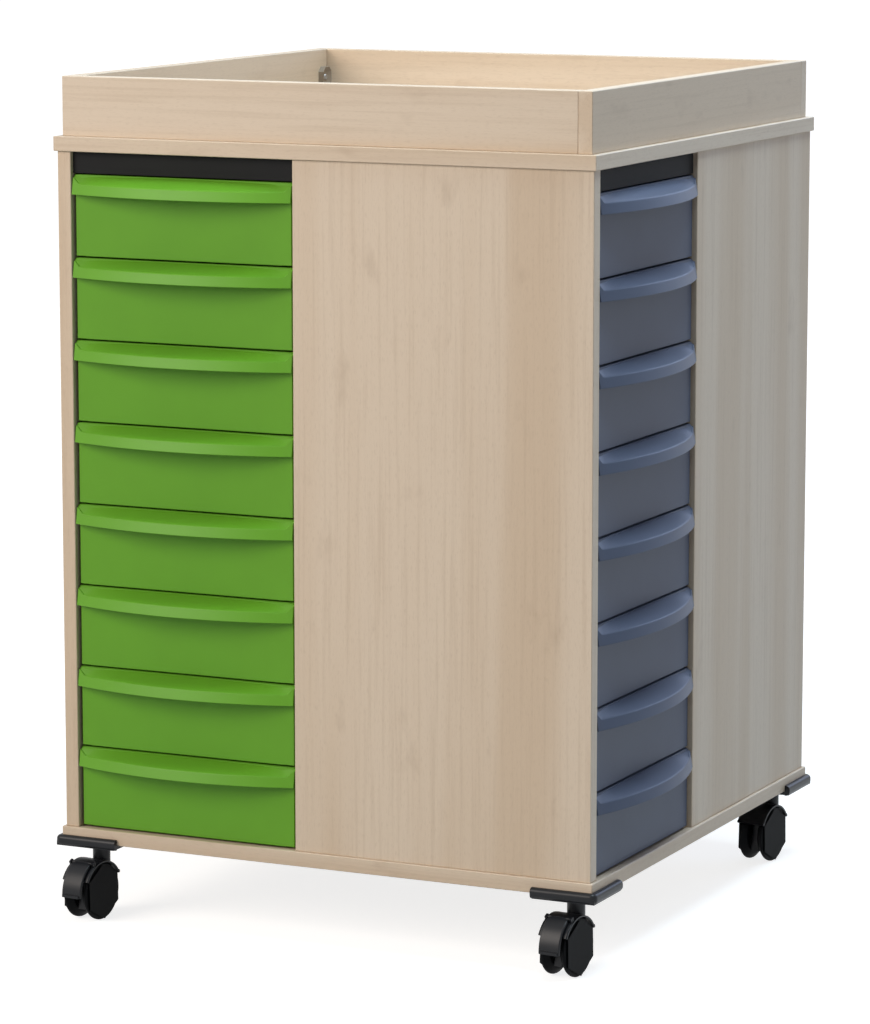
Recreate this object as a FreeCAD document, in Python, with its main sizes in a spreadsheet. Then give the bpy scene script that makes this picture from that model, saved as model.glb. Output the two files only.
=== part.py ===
import FreeCAD, Part
import math
import os

import Sketcher
from FreeCAD import Placement, Rotation, Vector

# Mobile tray storage unit: a square carcass on four castors, with a column of trays on each
# side, an open gallery on top, and the four sides laid out like a pinwheel.
# Millimetres. The origin is on the floor at the centre of the plan, +Z is up, and the front
# of the unit faces -Y.

FACES = ("front", "right", "back", "left")
CORNERS = {"front_left": (-1, -1), "front_right": (1, -1), "back_left": (-1, 1), "back_right": (1, 1)}
BRAKED_CORNERS = ("front_left", "front_right")
TRAYS_PER_COLUMN = 8
CAP_SIDES = 6
HALF_TURN = 180.0
QUARTER_TURN = 90.0

DRIVING_SIZES = [
    # boards and carcass
    ("board", 19.0, "thickness of every wooden board"),
    ("edge_break", 0.8, "chamfer on the boards' edges"),
    ("board_overhang", 4.0, "top and base boards beyond the side panels"),
    ("strip_height", 28.0, "black strip above the top tray"),
    ("strip_gap", 2.0, "air between the top tray and the black strip"),
    ("strip_depth", 12.0, "thickness of the black strip"),
    ("strip_recess", 6.5, "black strip behind the carcass face"),
    # gallery on the top board
    ("gallery_height", 77.0, "height of the gallery boards"),
    ("gallery_inset", 5.0, "gallery behind the carcass face"),
    ("connector_width", 26.0, "gallery corner connector, along its board"),
    ("connector_height", 28.0, "gallery corner connector, upwards"),
    ("connector_depth", 8.0, "gallery corner connector, out from its board"),
    ("connector_bevel", 7.0, "bevel at the connector's corners"),
    # trays
    ("tray_height", 105.6, "height of a tray"),
    ("tray_gap", 1.6, "air between one tray and the next"),
    ("tray_side_gap", 2.0, "air beside the lip on both sides"),
    ("tray_back_gap", 10.5, "air behind a tray's flange"),
    ("tray_floor_gap", 2.0, "bottom tray above the base board"),
    ("tray_depth", 372.0, "front plate to the back of the tub"),
    ("tray_recess", 5.5, "front plate behind the carcass face"),
    ("plate_inset", 2.0, "front plate in from both ends of the lip"),
    ("tray_front_wall", 2.8, "thickness of the front plate"),
    ("tub_draft", 2.5, "how far each wall leans in towards the floor"),
    ("tub_wall", 2.5, "thickness of the tub's walls and floor"),
    ("rim_inset", 0.5, "side flanges in from both ends of the lip"),
    ("rim_reach", 6.0, "width of the side flanges beyond the tub"),
    ("rim_back", 5.0, "flange behind the tub"),
    ("rim_wall", 2.5, "thickness of the flange"),
    ("lip_width", 315.0, "width of the grip lip"),
    ("lip_drop", 25.4, "height of the lip"),
    ("lip_middle_out", 28.5, "lower edge beyond the carcass face at its middle"),
    ("lip_end_out", 1.5, "lower edge beyond the carcass face at its ends"),
    ("lip_bevel_width", 6.0, "bevel at the ends of the lip, along it"),
    ("lip_bevel_depth", 3.0, "bevel at the ends of the lip, inwards"),
    ("crease_drop", 11.5, "crease below the lip's top"),
    ("crease_back", 4.0, "crease behind the lower edge"),
    ("crown_back", 9.0, "edge of the lip's flat top behind the crease"),
    ("lip_skin", 2.4, "wall of the hollow lip"),
    # runners
    ("runner_web", 1.5, "thickness of the runner on its panel"),
    ("runner_shelf", 1.8, "thickness of the runner's shelf"),
    ("runner_clear", 1.5, "air between a shelf and the tub"),
    ("runner_height", 12.0, "height of the runner on its panel"),
    ("runner_start", 22.0, "front end of the runners behind the carcass face"),
    ("runner_short", 20.5, "back end of the runners before the flange's"),
    ("runner_gap", 0.3, "air between a tray's flange and its shelf"),
    # castors and their corner plates
    ("castor_height", 104.0, "floor to the underside of the base board"),
    ("castor_inset", 37.5, "castor stem in from both edges of the base board"),
    ("castor_trail", 24.0, "axle ahead of the stem"),
    ("castor_turn", 6.0, "castors turned from straight ahead, degrees"),
    ("plate_wall", 6.0, "thickness of the corner plate"),
    ("plate_leg", 82.0, "length of the corner plate along each edge of the base board"),
    ("plate_end", 25.0, "width of the corner plate's ends"),
    ("bumper_out", 7.5, "bumper beyond the base board"),
    ("bumper_up", 8.0, "bumper up the edge of the base board"),
    ("bumper_bevel", 3.6, "bevel of the bumper's long edges"),
    ("bumper_corner", 8.0, "rounding of the bumper's corner"),
    ("wheel_radius", 37.5, "radius of the wheels"),
    ("wheel_width", 11.0, "width of a wheel without its hub cap"),
    ("wheel_gap", 1.0, "air between a wheel and the housing's web"),
    ("shoulder_width", 7.0, "slope at a tread's inner side, along the axle"),
    ("shoulder_drop", 8.0, "slope at a tread's inner side, towards the axle"),
    ("cap_inset", 0.7, "corners of the six-sided hub cap within the tread"),
    ("cap_turn", 32.0, "a corner of the hub cap from level, degrees"),
    ("cap_height", 3.5, "height of the hub cap"),
    ("cap_taper", 42.0, "slope of the hub cap's rim, degrees"),
    ("axle_radius", 4.0, "radius of the axle"),
    ("axle_short", 2.0, "ends of the axle within the wheels' outer faces"),
    ("running_gap", 0.05, "air around an axle or a stem"),
    ("seat_gap", 0.3, "air around an axle in its housing"),
    ("end_gap", 0.4, "air at the ends of moving pieces"),
    ("stem_radius", 5.5, "radius of the swivel stem"),
    ("neck_radius", 11.6, "radius of the castor's neck"),
    ("neck_root", 25.0, "where the neck starts above the axle"),
    ("hood_gap", 1.2, "air between the wheels and their hood"),
    ("hood_wall", 2.5, "thickness of the hood"),
    ("hood_over", 2.5, "hood beyond the round part of the wheels"),
    ("hood_low", 28.0, "hood's ends above the axle, degrees"),
    ("hood_lip", 1.6, "height of the bead at the hood's ends"),
    ("hood_lip_arc", 3.0, "width of that bead, degrees"),
    ("web_half", 6.0, "half the thickness of the housing's web"),
    ("web_boss", 22.0, "web below, behind and ahead of the axle"),
    ("web_short", 4.0, "back end of the web's arc from the hood's, degrees"),
    ("web_lead", 1.0, "front end of the web's arc before the brake pivot, degrees"),
    # brake levers
    ("pivot_angle", 116.0, "brake pivot around the axle, degrees"),
    ("pivot_out", 3.4, "brake pivot beyond the hood"),
    ("barrel_radius", 2.2, "radius of the lever's barrel"),
    ("lug_inside", 16.0, "lugs from the castor's middle"),
    ("lug_wall", 3.2, "thickness of the two lugs that hold the pivot"),
    ("lug_spread", 5.0, "half the width of a lug, degrees"),
    ("lug_rise", 3.0, "lug beyond the pivot"),
    ("lever_gap", 0.5, "air between the lever and the hood's bead"),
    ("lever_wall", 4.6, "thickness of the lever"),
    ("lever_edge", 1.6, "chamfer on the lever's long edges"),
    ("lever_low", 181.5, "lower end of the lever, degrees"),
    ("lever_start", 1.0, "upper end of the lever past its pivot, degrees"),
    ("lever_side_gap", 1.0, "air between the lever and its lugs"),
    ("toe_inset", 2.0, "sides of the toe within the lever's"),
    ("toe_out", 2.6, "toe beyond the lever"),
    ("toe_arc", 4.0, "width of the toe, degrees"),
]


class Size:
    """A number together with the sheet expression that gives it."""

    def __init__(self, value, text=None):
        self.value = float(value)
        self.text = text or repr(float(value))

    def combined(self, other, sign, value):
        return Size(value, f"({self.text} {sign} {as_size(other).text})")

    def __add__(self, other):
        return self.combined(other, "+", self.value + as_size(other).value)

    def __sub__(self, other):
        return self.combined(other, "-", self.value - as_size(other).value)

    def __mul__(self, other):
        return self.combined(other, "*", self.value * as_size(other).value)

    def __truediv__(self, other):
        return self.combined(other, "/", self.value / as_size(other).value)

    def __neg__(self):
        return Size(-self.value, f"(-{self.text})")

    def cosine(self):
        return Size(math.cos(math.radians(self.value)), f"cos({self.text} * 1 deg)")

    def sine(self):
        return Size(math.sin(math.radians(self.value)), f"sin({self.text} * 1 deg)")

    def slope_angle(self):
        """The angle in degrees whose tangent is this size."""
        return Size(math.degrees(math.atan(self.value)), f"(atan({self.text}) / 1 deg)")


def as_size(thing):
    return thing if isinstance(thing, Size) else Size(thing)


class Sheet:
    """The spreadsheet of driving sizes; its aliases are this object's attributes."""

    def __init__(self, document, rows):
        cells = document.addObject("Spreadsheet::Sheet", "Sizes")
        for number, (alias, value, meaning) in enumerate(rows, start=1):
            cells.set(f"A{number}", meaning)
            cells.set(f"B{number}", str(value))
            cells.setAlias(f"B{number}", alias)
            setattr(self, alias, Size(value, f"Sizes.{alias}"))


document = FreeCAD.newDocument("tray_unit")
size = Sheet(document, DRIVING_SIZES)

# Widths, depths and heights that follow from the trays
opening_width = size.lip_width + size.tray_side_gap * 2
rim_width = size.lip_width - size.rim_inset * 2
tub_width = rim_width - size.rim_reach * 2
tray_pitch = size.tray_height + size.tray_gap
column_depth = size.tray_recess + size.tray_depth + size.rim_back
carcass_width = opening_width + size.board * 2 + column_depth + size.tray_back_gap
column_height = tray_pitch * (TRAYS_PER_COLUMN - 1) + size.tray_height
carcass_height = size.tray_floor_gap + column_height + size.strip_gap + size.strip_height
runner_reach = size.tray_side_gap + size.rim_inset + size.rim_reach - size.runner_clear
runner_length = column_depth - size.runner_start - size.runner_short

# Levels and places that several sub-parts share
base_bottom = size.castor_height
base_top = base_bottom + size.board
carcass_top = base_top + carcass_height
top_board_top = carcass_top + size.board
half_carcass = carcass_width / 2
half_base = half_carcass + size.board_overhang
half_gallery = half_carcass - size.gallery_inset
panel_start = size.board + opening_width - half_carcass
column_centre = size.board + opening_width / 2 - half_carcass
bottom_tray_level = base_top + size.tray_floor_gap
castor_reach = half_base - size.castor_inset
hood_inner = size.wheel_radius + size.hood_gap
hood_outer = hood_inner + size.hood_wall
wheel_inside = size.web_half + size.wheel_gap
wheel_outside = wheel_inside + size.wheel_width
hood_half = wheel_outside + size.hood_over
axle_half = wheel_outside - size.axle_short
pivot_radius = hood_outer + size.pivot_out


# ---------------------------------------------------------------- drawing helpers


def new_body(label):
    body = document.addObject("PartDesign::Body", label)
    body.Label = label
    return body


def origin_plane(body, role):
    return next(item for item in body.Origin.OriginFeatures if item.Role == role)


def new_sketch(body, name, role, level=0.0, shift=0.0):
    """An empty sketch on an origin plane of its body, raised by level and moved along its own x."""
    sketch = body.newObject("Sketcher::SketchObject", name)
    sketch.AttachmentSupport = [(origin_plane(body, role), "")]
    sketch.MapMode = "FlatFace"
    sketch.AttachmentOffset = Placement(Vector(as_size(shift).value, 0, as_size(level).value), Rotation())
    sketch.setExpression("AttachmentOffset.Base.x", as_size(shift).text)
    sketch.setExpression("AttachmentOffset.Base.z", as_size(level).text)
    return sketch


def pin_point(sketch, edge, end, point):
    """Hold one end of an edge, or a circle's centre, at a point given as two sizes."""
    for direction, coordinate in zip(("DistanceX", "DistanceY"), point):
        coordinate = as_size(coordinate)
        number = sketch.addConstraint(Sketcher.Constraint(direction, -1, 1, edge, end, coordinate.value))
        sketch.setExpression(f"Constraints[{number}]", coordinate.text)


def add_loop(sketch, points, arcs=None):
    """A closed loop. arcs maps an edge's number to its radius and a point it passes through."""
    arcs = arcs or {}
    corners = [Vector(as_size(across).value, as_size(up).value, 0) for across, up in points]
    ends = []
    for number, start in enumerate(corners):
        finish = corners[(number + 1) % len(corners)]
        if number not in arcs:
            ends.append((sketch.addGeometry(Part.LineSegment(start, finish), False), 1, 2))
            continue
        radius, through = arcs[number]
        edge = sketch.addGeometry(Part.Arc(start, Vector(*through, 0), finish), False)
        forwards = (sketch.getPoint(edge, 1) - start).Length < (sketch.getPoint(edge, 2) - start).Length
        ends.append((edge, 1, 2) if forwards else (edge, 2, 1))
        held = sketch.addConstraint(Sketcher.Constraint("Radius", edge, radius.value))
        sketch.setExpression(f"Constraints[{held}]", radius.text)
    for number, point in enumerate(points):
        edge, start, finish = ends[number]
        following, first, last = ends[(number + 1) % len(ends)]
        sketch.addConstraint(Sketcher.Constraint("Coincident", edge, finish, following, first))
        pin_point(sketch, edge, start, point)


def outline(body, name, role, points, level=0.0, arcs=None, shift=0.0):
    """A sketch of one closed loop."""
    sketch = new_sketch(body, name, role, level, shift)
    add_loop(sketch, points, arcs)
    return sketch


def circles(body, name, role, centres, radius, level=0.0):
    """A sketch of equal circles."""
    sketch = new_sketch(body, name, role, level)
    for centre in centres:
        middle = Vector(as_size(centre[0]).value, as_size(centre[1]).value, 0)
        edge = sketch.addGeometry(Part.Circle(middle, Vector(0, 0, 1), radius.value), False)
        pin_point(sketch, edge, 3, centre)
        held = sketch.addConstraint(Sketcher.Constraint("Radius", edge, radius.value))
        sketch.setExpression(f"Constraints[{held}]", radius.text)
    return sketch


def rectangle(low, high):
    """The corners of an upright rectangle from its low to its high corner."""
    return [(low[0], low[1]), (high[0], low[1]), (high[0], high[1]), (low[0], high[1])]


def around_axle(radius, angle):
    """A point in a castor's side view; angles start at its back and pass over its top."""
    return (radius * angle.cosine(), radius * angle.sine())


def sector(body, name, inner, outer, first, last):
    """A curved strip around the axle, in the castor's side view."""
    middle = (first + last) / 2
    points = [
        around_axle(inner, first),
        around_axle(inner, last),
        around_axle(outer, last),
        around_axle(outer, first),
    ]
    arcs = {}
    for number, radius in ((0, inner), (2, outer)):
        arcs[number] = (radius, [part.value for part in around_axle(radius, middle)])
    return outline(body, name, "YZ_Plane", points, arcs=arcs)


def pad(body, name, sketch, length, symmetric=False, taper=None, reverse=False):
    """A pad; a negative taper, in degrees, narrows it on its way."""
    return extrusion(body, name, "PartDesign::Pad", sketch, length, symmetric, taper, reverse)


def cut(body, name, sketch, length, symmetric=False, taper=None, reverse=False):
    """A pocket against the sketch's normal, or along it when reversed."""
    return extrusion(body, name, "PartDesign::Pocket", sketch, length, symmetric, taper, reverse)


def extrusion(body, name, kind, sketch, length, symmetric, taper, reverse):
    feature = body.newObject(kind, name)
    feature.Profile = sketch
    feature.setExpression("Length", as_size(length).text)
    feature.Reversed = reverse
    if symmetric:
        feature.SideType = "Symmetric"
    if taper:
        feature.setExpression("TaperAngle", taper.text)
    return feature


def revolved(body, name, kind, sketch, axis, angle=Size(HALF_TURN * 2), symmetric=False):
    """A solid or a groove turned about one of its sketch's own axes."""
    feature = body.newObject(kind, name)
    feature.Profile = sketch
    feature.ReferenceAxis = (sketch, [axis])
    feature.setExpression("Angle", angle.text)
    feature.Midplane = symmetric
    return feature


def dress(body, name, kind, dimension, amount, wanted):
    """Fillet or chamfer those edges of the body so far whose centre and direction are wanted."""
    base = body.Tip
    document.recompute()
    names = []
    for number, edge in enumerate(base.Shape.Edges, start=1):
        direction = edge.lastVertex().Point - edge.firstVertex().Point
        if wanted(edge.CenterOfMass, direction):
            names.append(f"Edge{number}")
    feature = body.newObject(kind, name)
    feature.Base = (base, names)
    feature.setExpression(dimension, amount.text)
    return feature


def turned(across, inward, quarter):
    """Plan coordinates of the front face, turned by quarters to another face."""
    across, inward = as_size(across), as_size(inward)
    return [(across, inward), (-inward, across), (-across, -inward), (inward, -across)][quarter]


def place(thing, x, y, z, angle=0.0):
    """Give a sub-part its place and its turn about the upright axis, both held by the sheet."""
    angle = as_size(angle)
    thing.Placement = Placement(Vector(0, 0, 0), Rotation(Vector(0, 0, 1), angle.value))
    thing.setExpression("Placement.Rotation.Angle", angle.text + " * 1 deg")
    for letter, coordinate in zip("xyz", (x, y, z)):
        thing.setExpression(f"Placement.Base.{letter}", as_size(coordinate).text)
    return thing


def place_on_face(thing, across, inward, up, quarter):
    x, y = turned(across, inward, quarter)
    return place(thing, x, y, up, quarter * QUARTER_TURN)


def copy_of(master, label):
    """Another sub-part that follows the master's shape and has a place of its own."""
    body = new_body(label)
    feature = document.addObject("PartDesign::FeatureBase", label + "_shape")
    body.Group = [feature]
    feature.BaseFeature = master
    body.Tip = feature
    return body


def group(label, members):
    """Identical pieces that share one node."""
    compound = document.addObject("Part::Compound", label)
    compound.Label = label
    compound.Links = members
    return compound


# ---------------------------------------------------------------- boards


def board(label, along, across, up):
    """An upright or flat board from its own corner, with its edges broken."""
    body = new_body(label)
    plan = outline(body, label + "_plan", "XY_Plane", rectangle((0, 0), (along, across)))
    pad(body, label + "_board", plan, up)
    dress(body, label + "_edges", "PartDesign::Chamfer", "Size", size.edge_break, lambda centre, way: True)
    return body


def flat_board(label, level):
    """The square top or base board, from the plan's centre line outwards."""
    body = board(label, half_base * 2, half_base * 2, size.board)
    return place(body, -half_base, -half_base, level)


def side_panel(face, quarter):
    """The plain panel beside each tray column; its edge is the next column's stile."""
    body = board(f"panel_{face}", half_carcass - panel_start, size.board, carcass_height)
    return place_on_face(body, panel_start, -half_carcass, base_top, quarter)


def box_group(label, across, inward, up, along, depth, height):
    """Four plain boards, one for each face, that share a node."""
    members = []
    for quarter, face in enumerate(FACES):
        box = document.addObject("Part::Box", f"{label}_{face}")
        for name, amount in (("Length", along), ("Width", depth), ("Height", height)):
            box.setExpression(name, amount.text)
        members.append(place_on_face(box, across, inward, up, quarter))
    return group(label, members)


def inner_partitions():
    """The four inner walls; each closes its own column's side and the next column's back."""
    depth = half_carcass - panel_start - size.board * 2
    inward = size.board - half_carcass
    return box_group(
        "inner_partitions", panel_start, inward, base_top, size.board, depth, carcass_height
    )


def fascia_strips():
    return box_group(
        "fascia_strips",
        size.board - half_carcass,
        size.strip_recess - half_carcass,
        carcass_top - size.strip_height,
        opening_width,
        size.strip_depth,
        size.strip_height,
    )


def gallery_pair(label, quarters):
    """Two facing boards of the gallery, each stopping at the board on its right."""
    members = []
    for quarter in quarters:
        body = board(
            f"{label}_{FACES[quarter]}", half_gallery * 2 - size.board, size.board, size.gallery_height
        )
        members.append(place_on_face(body, -half_gallery, -half_gallery, top_board_top, quarter))
    return group(label, members)


def gallery_connectors():
    """One moulded corner connector on the inner end of each gallery board."""
    master = new_body("connector_front")
    across, up, bevel = size.connector_width, size.connector_height, size.connector_bevel
    points = [
        (bevel, 0),
        (across - bevel, 0),
        (across, bevel),
        (across, up - bevel),
        (across - bevel, up),
        (bevel, up),
        (0, up - bevel),
        (0, bevel),
    ]
    face = outline(master, "connector_face", "XZ_Plane", points)
    pad(master, "connector_block", face, size.connector_depth, reverse=True)
    members = [master] + [copy_of(master, f"connector_{face}") for face in FACES[1:]]
    corner = size.board - half_gallery
    level = top_board_top + (size.gallery_height - size.connector_height) / 2
    for quarter, member in enumerate(members):
        place_on_face(member, corner, corner, level, quarter)
    return group("gallery_connectors", members)


# ---------------------------------------------------------------- trays and runners


def add_lip(body, back):
    """The bowed grip lip, turned about the upright axis of its bow, trimmed and hollowed below."""
    top = size.tray_height
    half = size.lip_width / 2
    bow = size.lip_middle_out - size.lip_end_out
    radius = (half * half + bow * bow) / (bow * 2)
    axis_place = radius - size.lip_middle_out
    low = top - size.lip_drop
    crease = radius - size.crease_back
    depth = axis_place - back - bow * 2
    profile = [
        (-radius, low),
        (-crease, top - size.crease_drop),
        (size.crown_back - crease, top),
        (-depth, top),
        (-depth, low),
    ]
    section = outline(body, "lip_section", "YZ_Plane", profile, shift=axis_place)
    spread = (size.lip_width / radius).slope_angle()
    revolved(body, "lip_sweep", "PartDesign::Revolution", section, "V_Axis", spread * 2, True)

    keep = new_sketch(body, "lip_trim", "XY_Plane", top)
    corner = size.lip_bevel_depth - size.lip_end_out
    nose = half - size.lip_bevel_width
    front = -size.lip_width
    add_loop(keep, rectangle((front * 2, front * 2), (size.lip_width * 2, size.lip_width)))
    add_loop(keep, [
        (-half, back), (-half, corner), (-nose, -size.lip_end_out - size.crease_back),
        (-nose, front), (nose, front), (nose, -size.lip_end_out - size.crease_back),
        (half, corner), (half, back)
    ])
    cut(body, "lip_ends", keep, size.lip_drop)

    skin = size.lip_skin
    inner_half = half - skin
    third = half / 3
    inner_end = size.lip_end_out - size.crease_back - skin
    inner_third = inner_end + bow - bow / 9
    hollow = outline(
        body, "lip_hollow_plan", "XY_Plane", [
            (-inner_half, size.tray_recess), (-inner_half, -inner_end), (-third, -inner_third),
            (third, -inner_third), (inner_half, -inner_end), (inner_half, size.tray_recess)
        ], low
    )
    cut(body, "lip_hollow", hollow, size.lip_drop - size.crease_drop - skin, reverse=True)


def tray(label):
    """A moulded tray from the middle of its front: lip, tub, flanges and front plate."""
    body = new_body(label)
    top = size.tray_height
    front = size.tray_recess
    plate_back = front + size.tray_front_wall
    back = front + size.tray_depth
    wall = size.tub_wall
    half_tub = tub_width / 2
    half_plate = size.lip_width / 2 - size.plate_inset
    lean = (size.tub_draft / top).slope_angle()

    add_lip(body, plate_back)
    floor_low = (size.tub_draft - half_tub, front + size.tub_draft)
    floor_high = (half_tub - size.tub_draft, back - size.tub_draft)
    floor_plan = outline(body, "tub_floor", "XY_Plane", rectangle(floor_low, floor_high))
    pad(body, "tub", floor_plan, top, taper=lean)
    half_rim = rim_width / 2
    flange_corners = rectangle((-half_rim, plate_back), (half_rim, back + size.rim_back))
    flange = outline(body, "flange_plan", "XY_Plane", flange_corners, top - size.rim_wall)
    pad(body, "flange", flange, size.rim_wall)
    plate_corners = rectangle((-half_plate, front), (half_plate, plate_back))
    plate = outline(body, "plate_plan", "XY_Plane", plate_corners)
    pad(body, "front_plate", plate, top)
    cavity_corners = rectangle((wall - half_tub, plate_back), (half_tub - wall, back - wall))
    cavity = outline(body, "cavity_rim", "XY_Plane", cavity_corners, top)
    cut(body, "cavity", cavity, top - wall, taper=-lean)
    return body


def trays():
    """Every tray of the four columns, numbered from the top of its column."""
    found = []
    for quarter, face in enumerate(FACES):
        for number in range(1, TRAYS_PER_COLUMN + 1):
            label = f"tray_{face}_{number}"
            body = copy_of(found[0], label) if found else tray(label)
            level = bottom_tray_level + tray_pitch * (TRAYS_PER_COLUMN - number)
            found.append(place_on_face(body, column_centre, -half_carcass, level, quarter))
    return found


def tray_runners():
    """The L-shaped runners on both sides of every column, one pair for each tray."""
    body = new_body("tray_runners")
    shelf_top = bottom_tray_level + size.tray_height - size.rim_wall - size.runner_gap
    shelf_low = shelf_top - size.runner_shelf
    web_low = shelf_top - size.runner_height
    start = half_carcass - size.runner_start
    runners = []
    for side, wall, hand in (("left", size.board - half_carcass, 1), ("right", panel_start, -1)):
        web = wall + size.runner_web * hand
        tip = wall + runner_reach * hand
        points = [
            (wall, web_low), (web, web_low), (web, shelf_low), (tip, shelf_low), (tip, shelf_top),
            (wall, shelf_top)
        ]
        profile = outline(body, f"runner_{side}_profile", "XZ_Plane", points, level=start)
        runners.append(pad(body, f"runner_{side}", profile, runner_length, reverse=True))
    upright = document.addObject("PartDesign::LinearPattern", "runner_levels")
    upright.Direction = (origin_plane(body, "Z_Axis"), [""])
    upright.Occurrences = TRAYS_PER_COLUMN
    upright.setExpression("Length", (tray_pitch * (TRAYS_PER_COLUMN - 1)).text)
    turns = document.addObject("PartDesign::PolarPattern", "runner_columns")
    turns.Axis = (origin_plane(body, "Z_Axis"), [""])
    turns.Angle = HALF_TURN * 2
    turns.Occurrences = len(FACES)
    every = body.newObject("PartDesign::MultiTransform", "runner_set")
    every.Originals = runners
    every.Transformations = [upright, turns]
    body.Tip = every
    return body


# ---------------------------------------------------------------- castors


def corner_plate(label):
    """A moulded corner plate under the base board, from the board's own corner."""
    body = new_body(label)
    out = size.bumper_out
    leg = -size.plate_leg
    end = -size.plate_end
    bottom = -size.plate_wall
    plate = outline(
        body, "plate_plan", "XY_Plane", [(out, out), (leg, out), (leg, end), (end, leg), (out, leg)], bottom
    )
    pad(body, "plate", plate, size.plate_wall)
    bumper = outline(
        body, "bumper_plan", "XY_Plane", [(out, out), (leg, out), (leg, 0), (0, 0), (0, leg), (out, leg)],
        bottom
    )
    pad(body, "bumper", bumper, size.plate_wall + size.bumper_up)
    margin = out.value / 2

    def outer_corner(centre, way):
        return abs(way.z) > abs(way.x) + abs(way.y) and min(centre.x, centre.y) > margin

    def long_edge(centre, way):
        return abs(way.z) < abs(way.x) + abs(way.y) and max(centre.x, centre.y) > out.value - margin / 2 and (
            abs(way.x) > out.value * 2 or abs(way.y) > out.value * 2 or min(centre.x, centre.y) > 0
        )

    dress(body, "bumper_turn", "PartDesign::Fillet", "Radius", size.bumper_corner, outer_corner)
    dress(body, "bumper_edges", "PartDesign::Chamfer", "Size", size.bumper_bevel, long_edge)
    stem = circles(
        body, "stem_socket_plan", "XY_Plane", [(-size.castor_inset, -size.castor_inset)],
        size.stem_radius + size.running_gap
    )
    cut(body, "stem_socket", stem, size.plate_wall)
    return body


def corner_plates():
    """The four corner plates, turned to their corners."""
    master = corner_plate("plate_back_right")
    members = [master] + [copy_of(master, f"plate_{number}") for number in range(1, len(FACES))]
    for quarter, member in enumerate(members):
        place_on_face(member, half_base, half_base, base_bottom, quarter)
    return group("corner_plates", members)


def castor_centre(corner):
    """Where a castor's axle crosses its middle plane."""
    across, inward = CORNERS[corner]
    aside = size.castor_trail * size.castor_turn.sine()
    ahead = size.castor_trail * size.castor_turn.cosine()
    return castor_reach * across - aside, castor_reach * inward - ahead


def brake_pivot():
    return around_axle(pivot_radius, size.pivot_angle)


def housing_frame(label, braked):
    """Hood, web, neck and swivel stem of a castor, from the middle of its axle."""
    body = new_body(label)
    low = size.hood_low
    high = Size(HALF_TURN) - low
    pad(body, "hood", sector(body, "hood_side", hood_inner, hood_outer, low, high), hood_half * 2, True)
    bead = hood_outer + size.hood_lip
    root = hood_outer - size.hood_wall / 2
    pad(
        body, "back_bead", sector(body, "back_bead_side", root, bead, low, low + size.hood_lip_arc),
        hood_half * 2, True
    )
    if not braked:
        pad(
            body, "front_bead", sector(body, "front_bead_side", root, bead, high - size.hood_lip_arc, high),
            hood_half * 2, True
        )
    neck_top = size.castor_height - size.wheel_radius - size.plate_wall - size.end_gap
    stem_place = [(0, size.castor_trail)]
    neck = circles(body, "neck_plan", "XY_Plane", stem_place, size.neck_radius, size.neck_root)
    pad(body, "neck", neck, neck_top - size.neck_root)
    clear = circles(body, "wheel_room_side", "YZ_Plane", [(0, 0)], hood_inner)
    cut(body, "wheel_room", clear, hood_half * 2, True)
    web_back = low + size.web_short
    web_front = size.pivot_angle - size.web_lead
    web_points = [
        (-size.web_boss, -size.web_boss),
        (size.web_boss, -size.web_boss),
        around_axle(root, web_back),
        around_axle(root, web_front),
    ]
    middle = (web_back + web_front) / 2
    web_arc = {2: (root, [part.value for part in around_axle(root, middle)])}
    web = outline(body, "web_side", "YZ_Plane", web_points, arcs=web_arc)
    pad(body, "web", web, size.web_half * 2, True)
    seat = circles(body, "axle_seat_side", "YZ_Plane", [(0, 0)], size.axle_radius + size.seat_gap)
    cut(body, "axle_seat", seat, hood_half * 2, True)
    stem = circles(body, "stem_plan", "XY_Plane", stem_place, size.stem_radius, neck_top - size.end_gap)
    pad(body, "stem", stem, size.plate_wall + size.end_gap)
    if braked:
        brake_lugs(body, root)
    return body


def brake_lugs(body, root):
    """Two lugs on the hood that hold the ends of the brake lever's barrel."""
    low = size.pivot_angle - size.lug_spread
    high = size.pivot_angle + size.lug_spread
    for side, level in (("right", size.lug_inside), ("left", -size.lug_inside - size.lug_wall)):
        face = sector(body, f"lug_{side}_side", root, pivot_radius + size.lug_rise, low, high)
        face.setExpression("AttachmentOffset.Base.z", level.text)
        pad(body, f"lug_{side}", face, size.lug_wall)
    hole = circles(
        body, "pivot_hole_side", "YZ_Plane", [brake_pivot()], size.barrel_radius + size.running_gap
    )
    cut(body, "pivot_hole", hole, hood_half * 2, True)


def castor_housings():
    """Each castor's moulded housing with its steel axle; the front two carry brake lugs."""
    masters = {}
    axle = new_body("castor_axle")
    rod = circles(axle, "axle_side", "YZ_Plane", [(0, 0)], size.axle_radius)
    pad(axle, "axle_rod", rod, axle_half * 2, True)
    found = []
    for corner in CORNERS:
        label = f"castor_{corner}_housing"
        braked = corner in BRAKED_CORNERS
        frame_label = label + "_frame"
        if braked in masters:
            frame = copy_of(masters[braked], frame_label)
        else:
            frame = housing_frame(frame_label, braked)
            masters[braked] = frame
        x, y = castor_centre(corner)
        pieces = [frame, copy_of(axle, f"castor_{corner}_axle")]
        for piece in pieces:
            place(piece, x, y, size.wheel_radius, -size.castor_turn)
        found.append(group(label, pieces))
    return found


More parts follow.
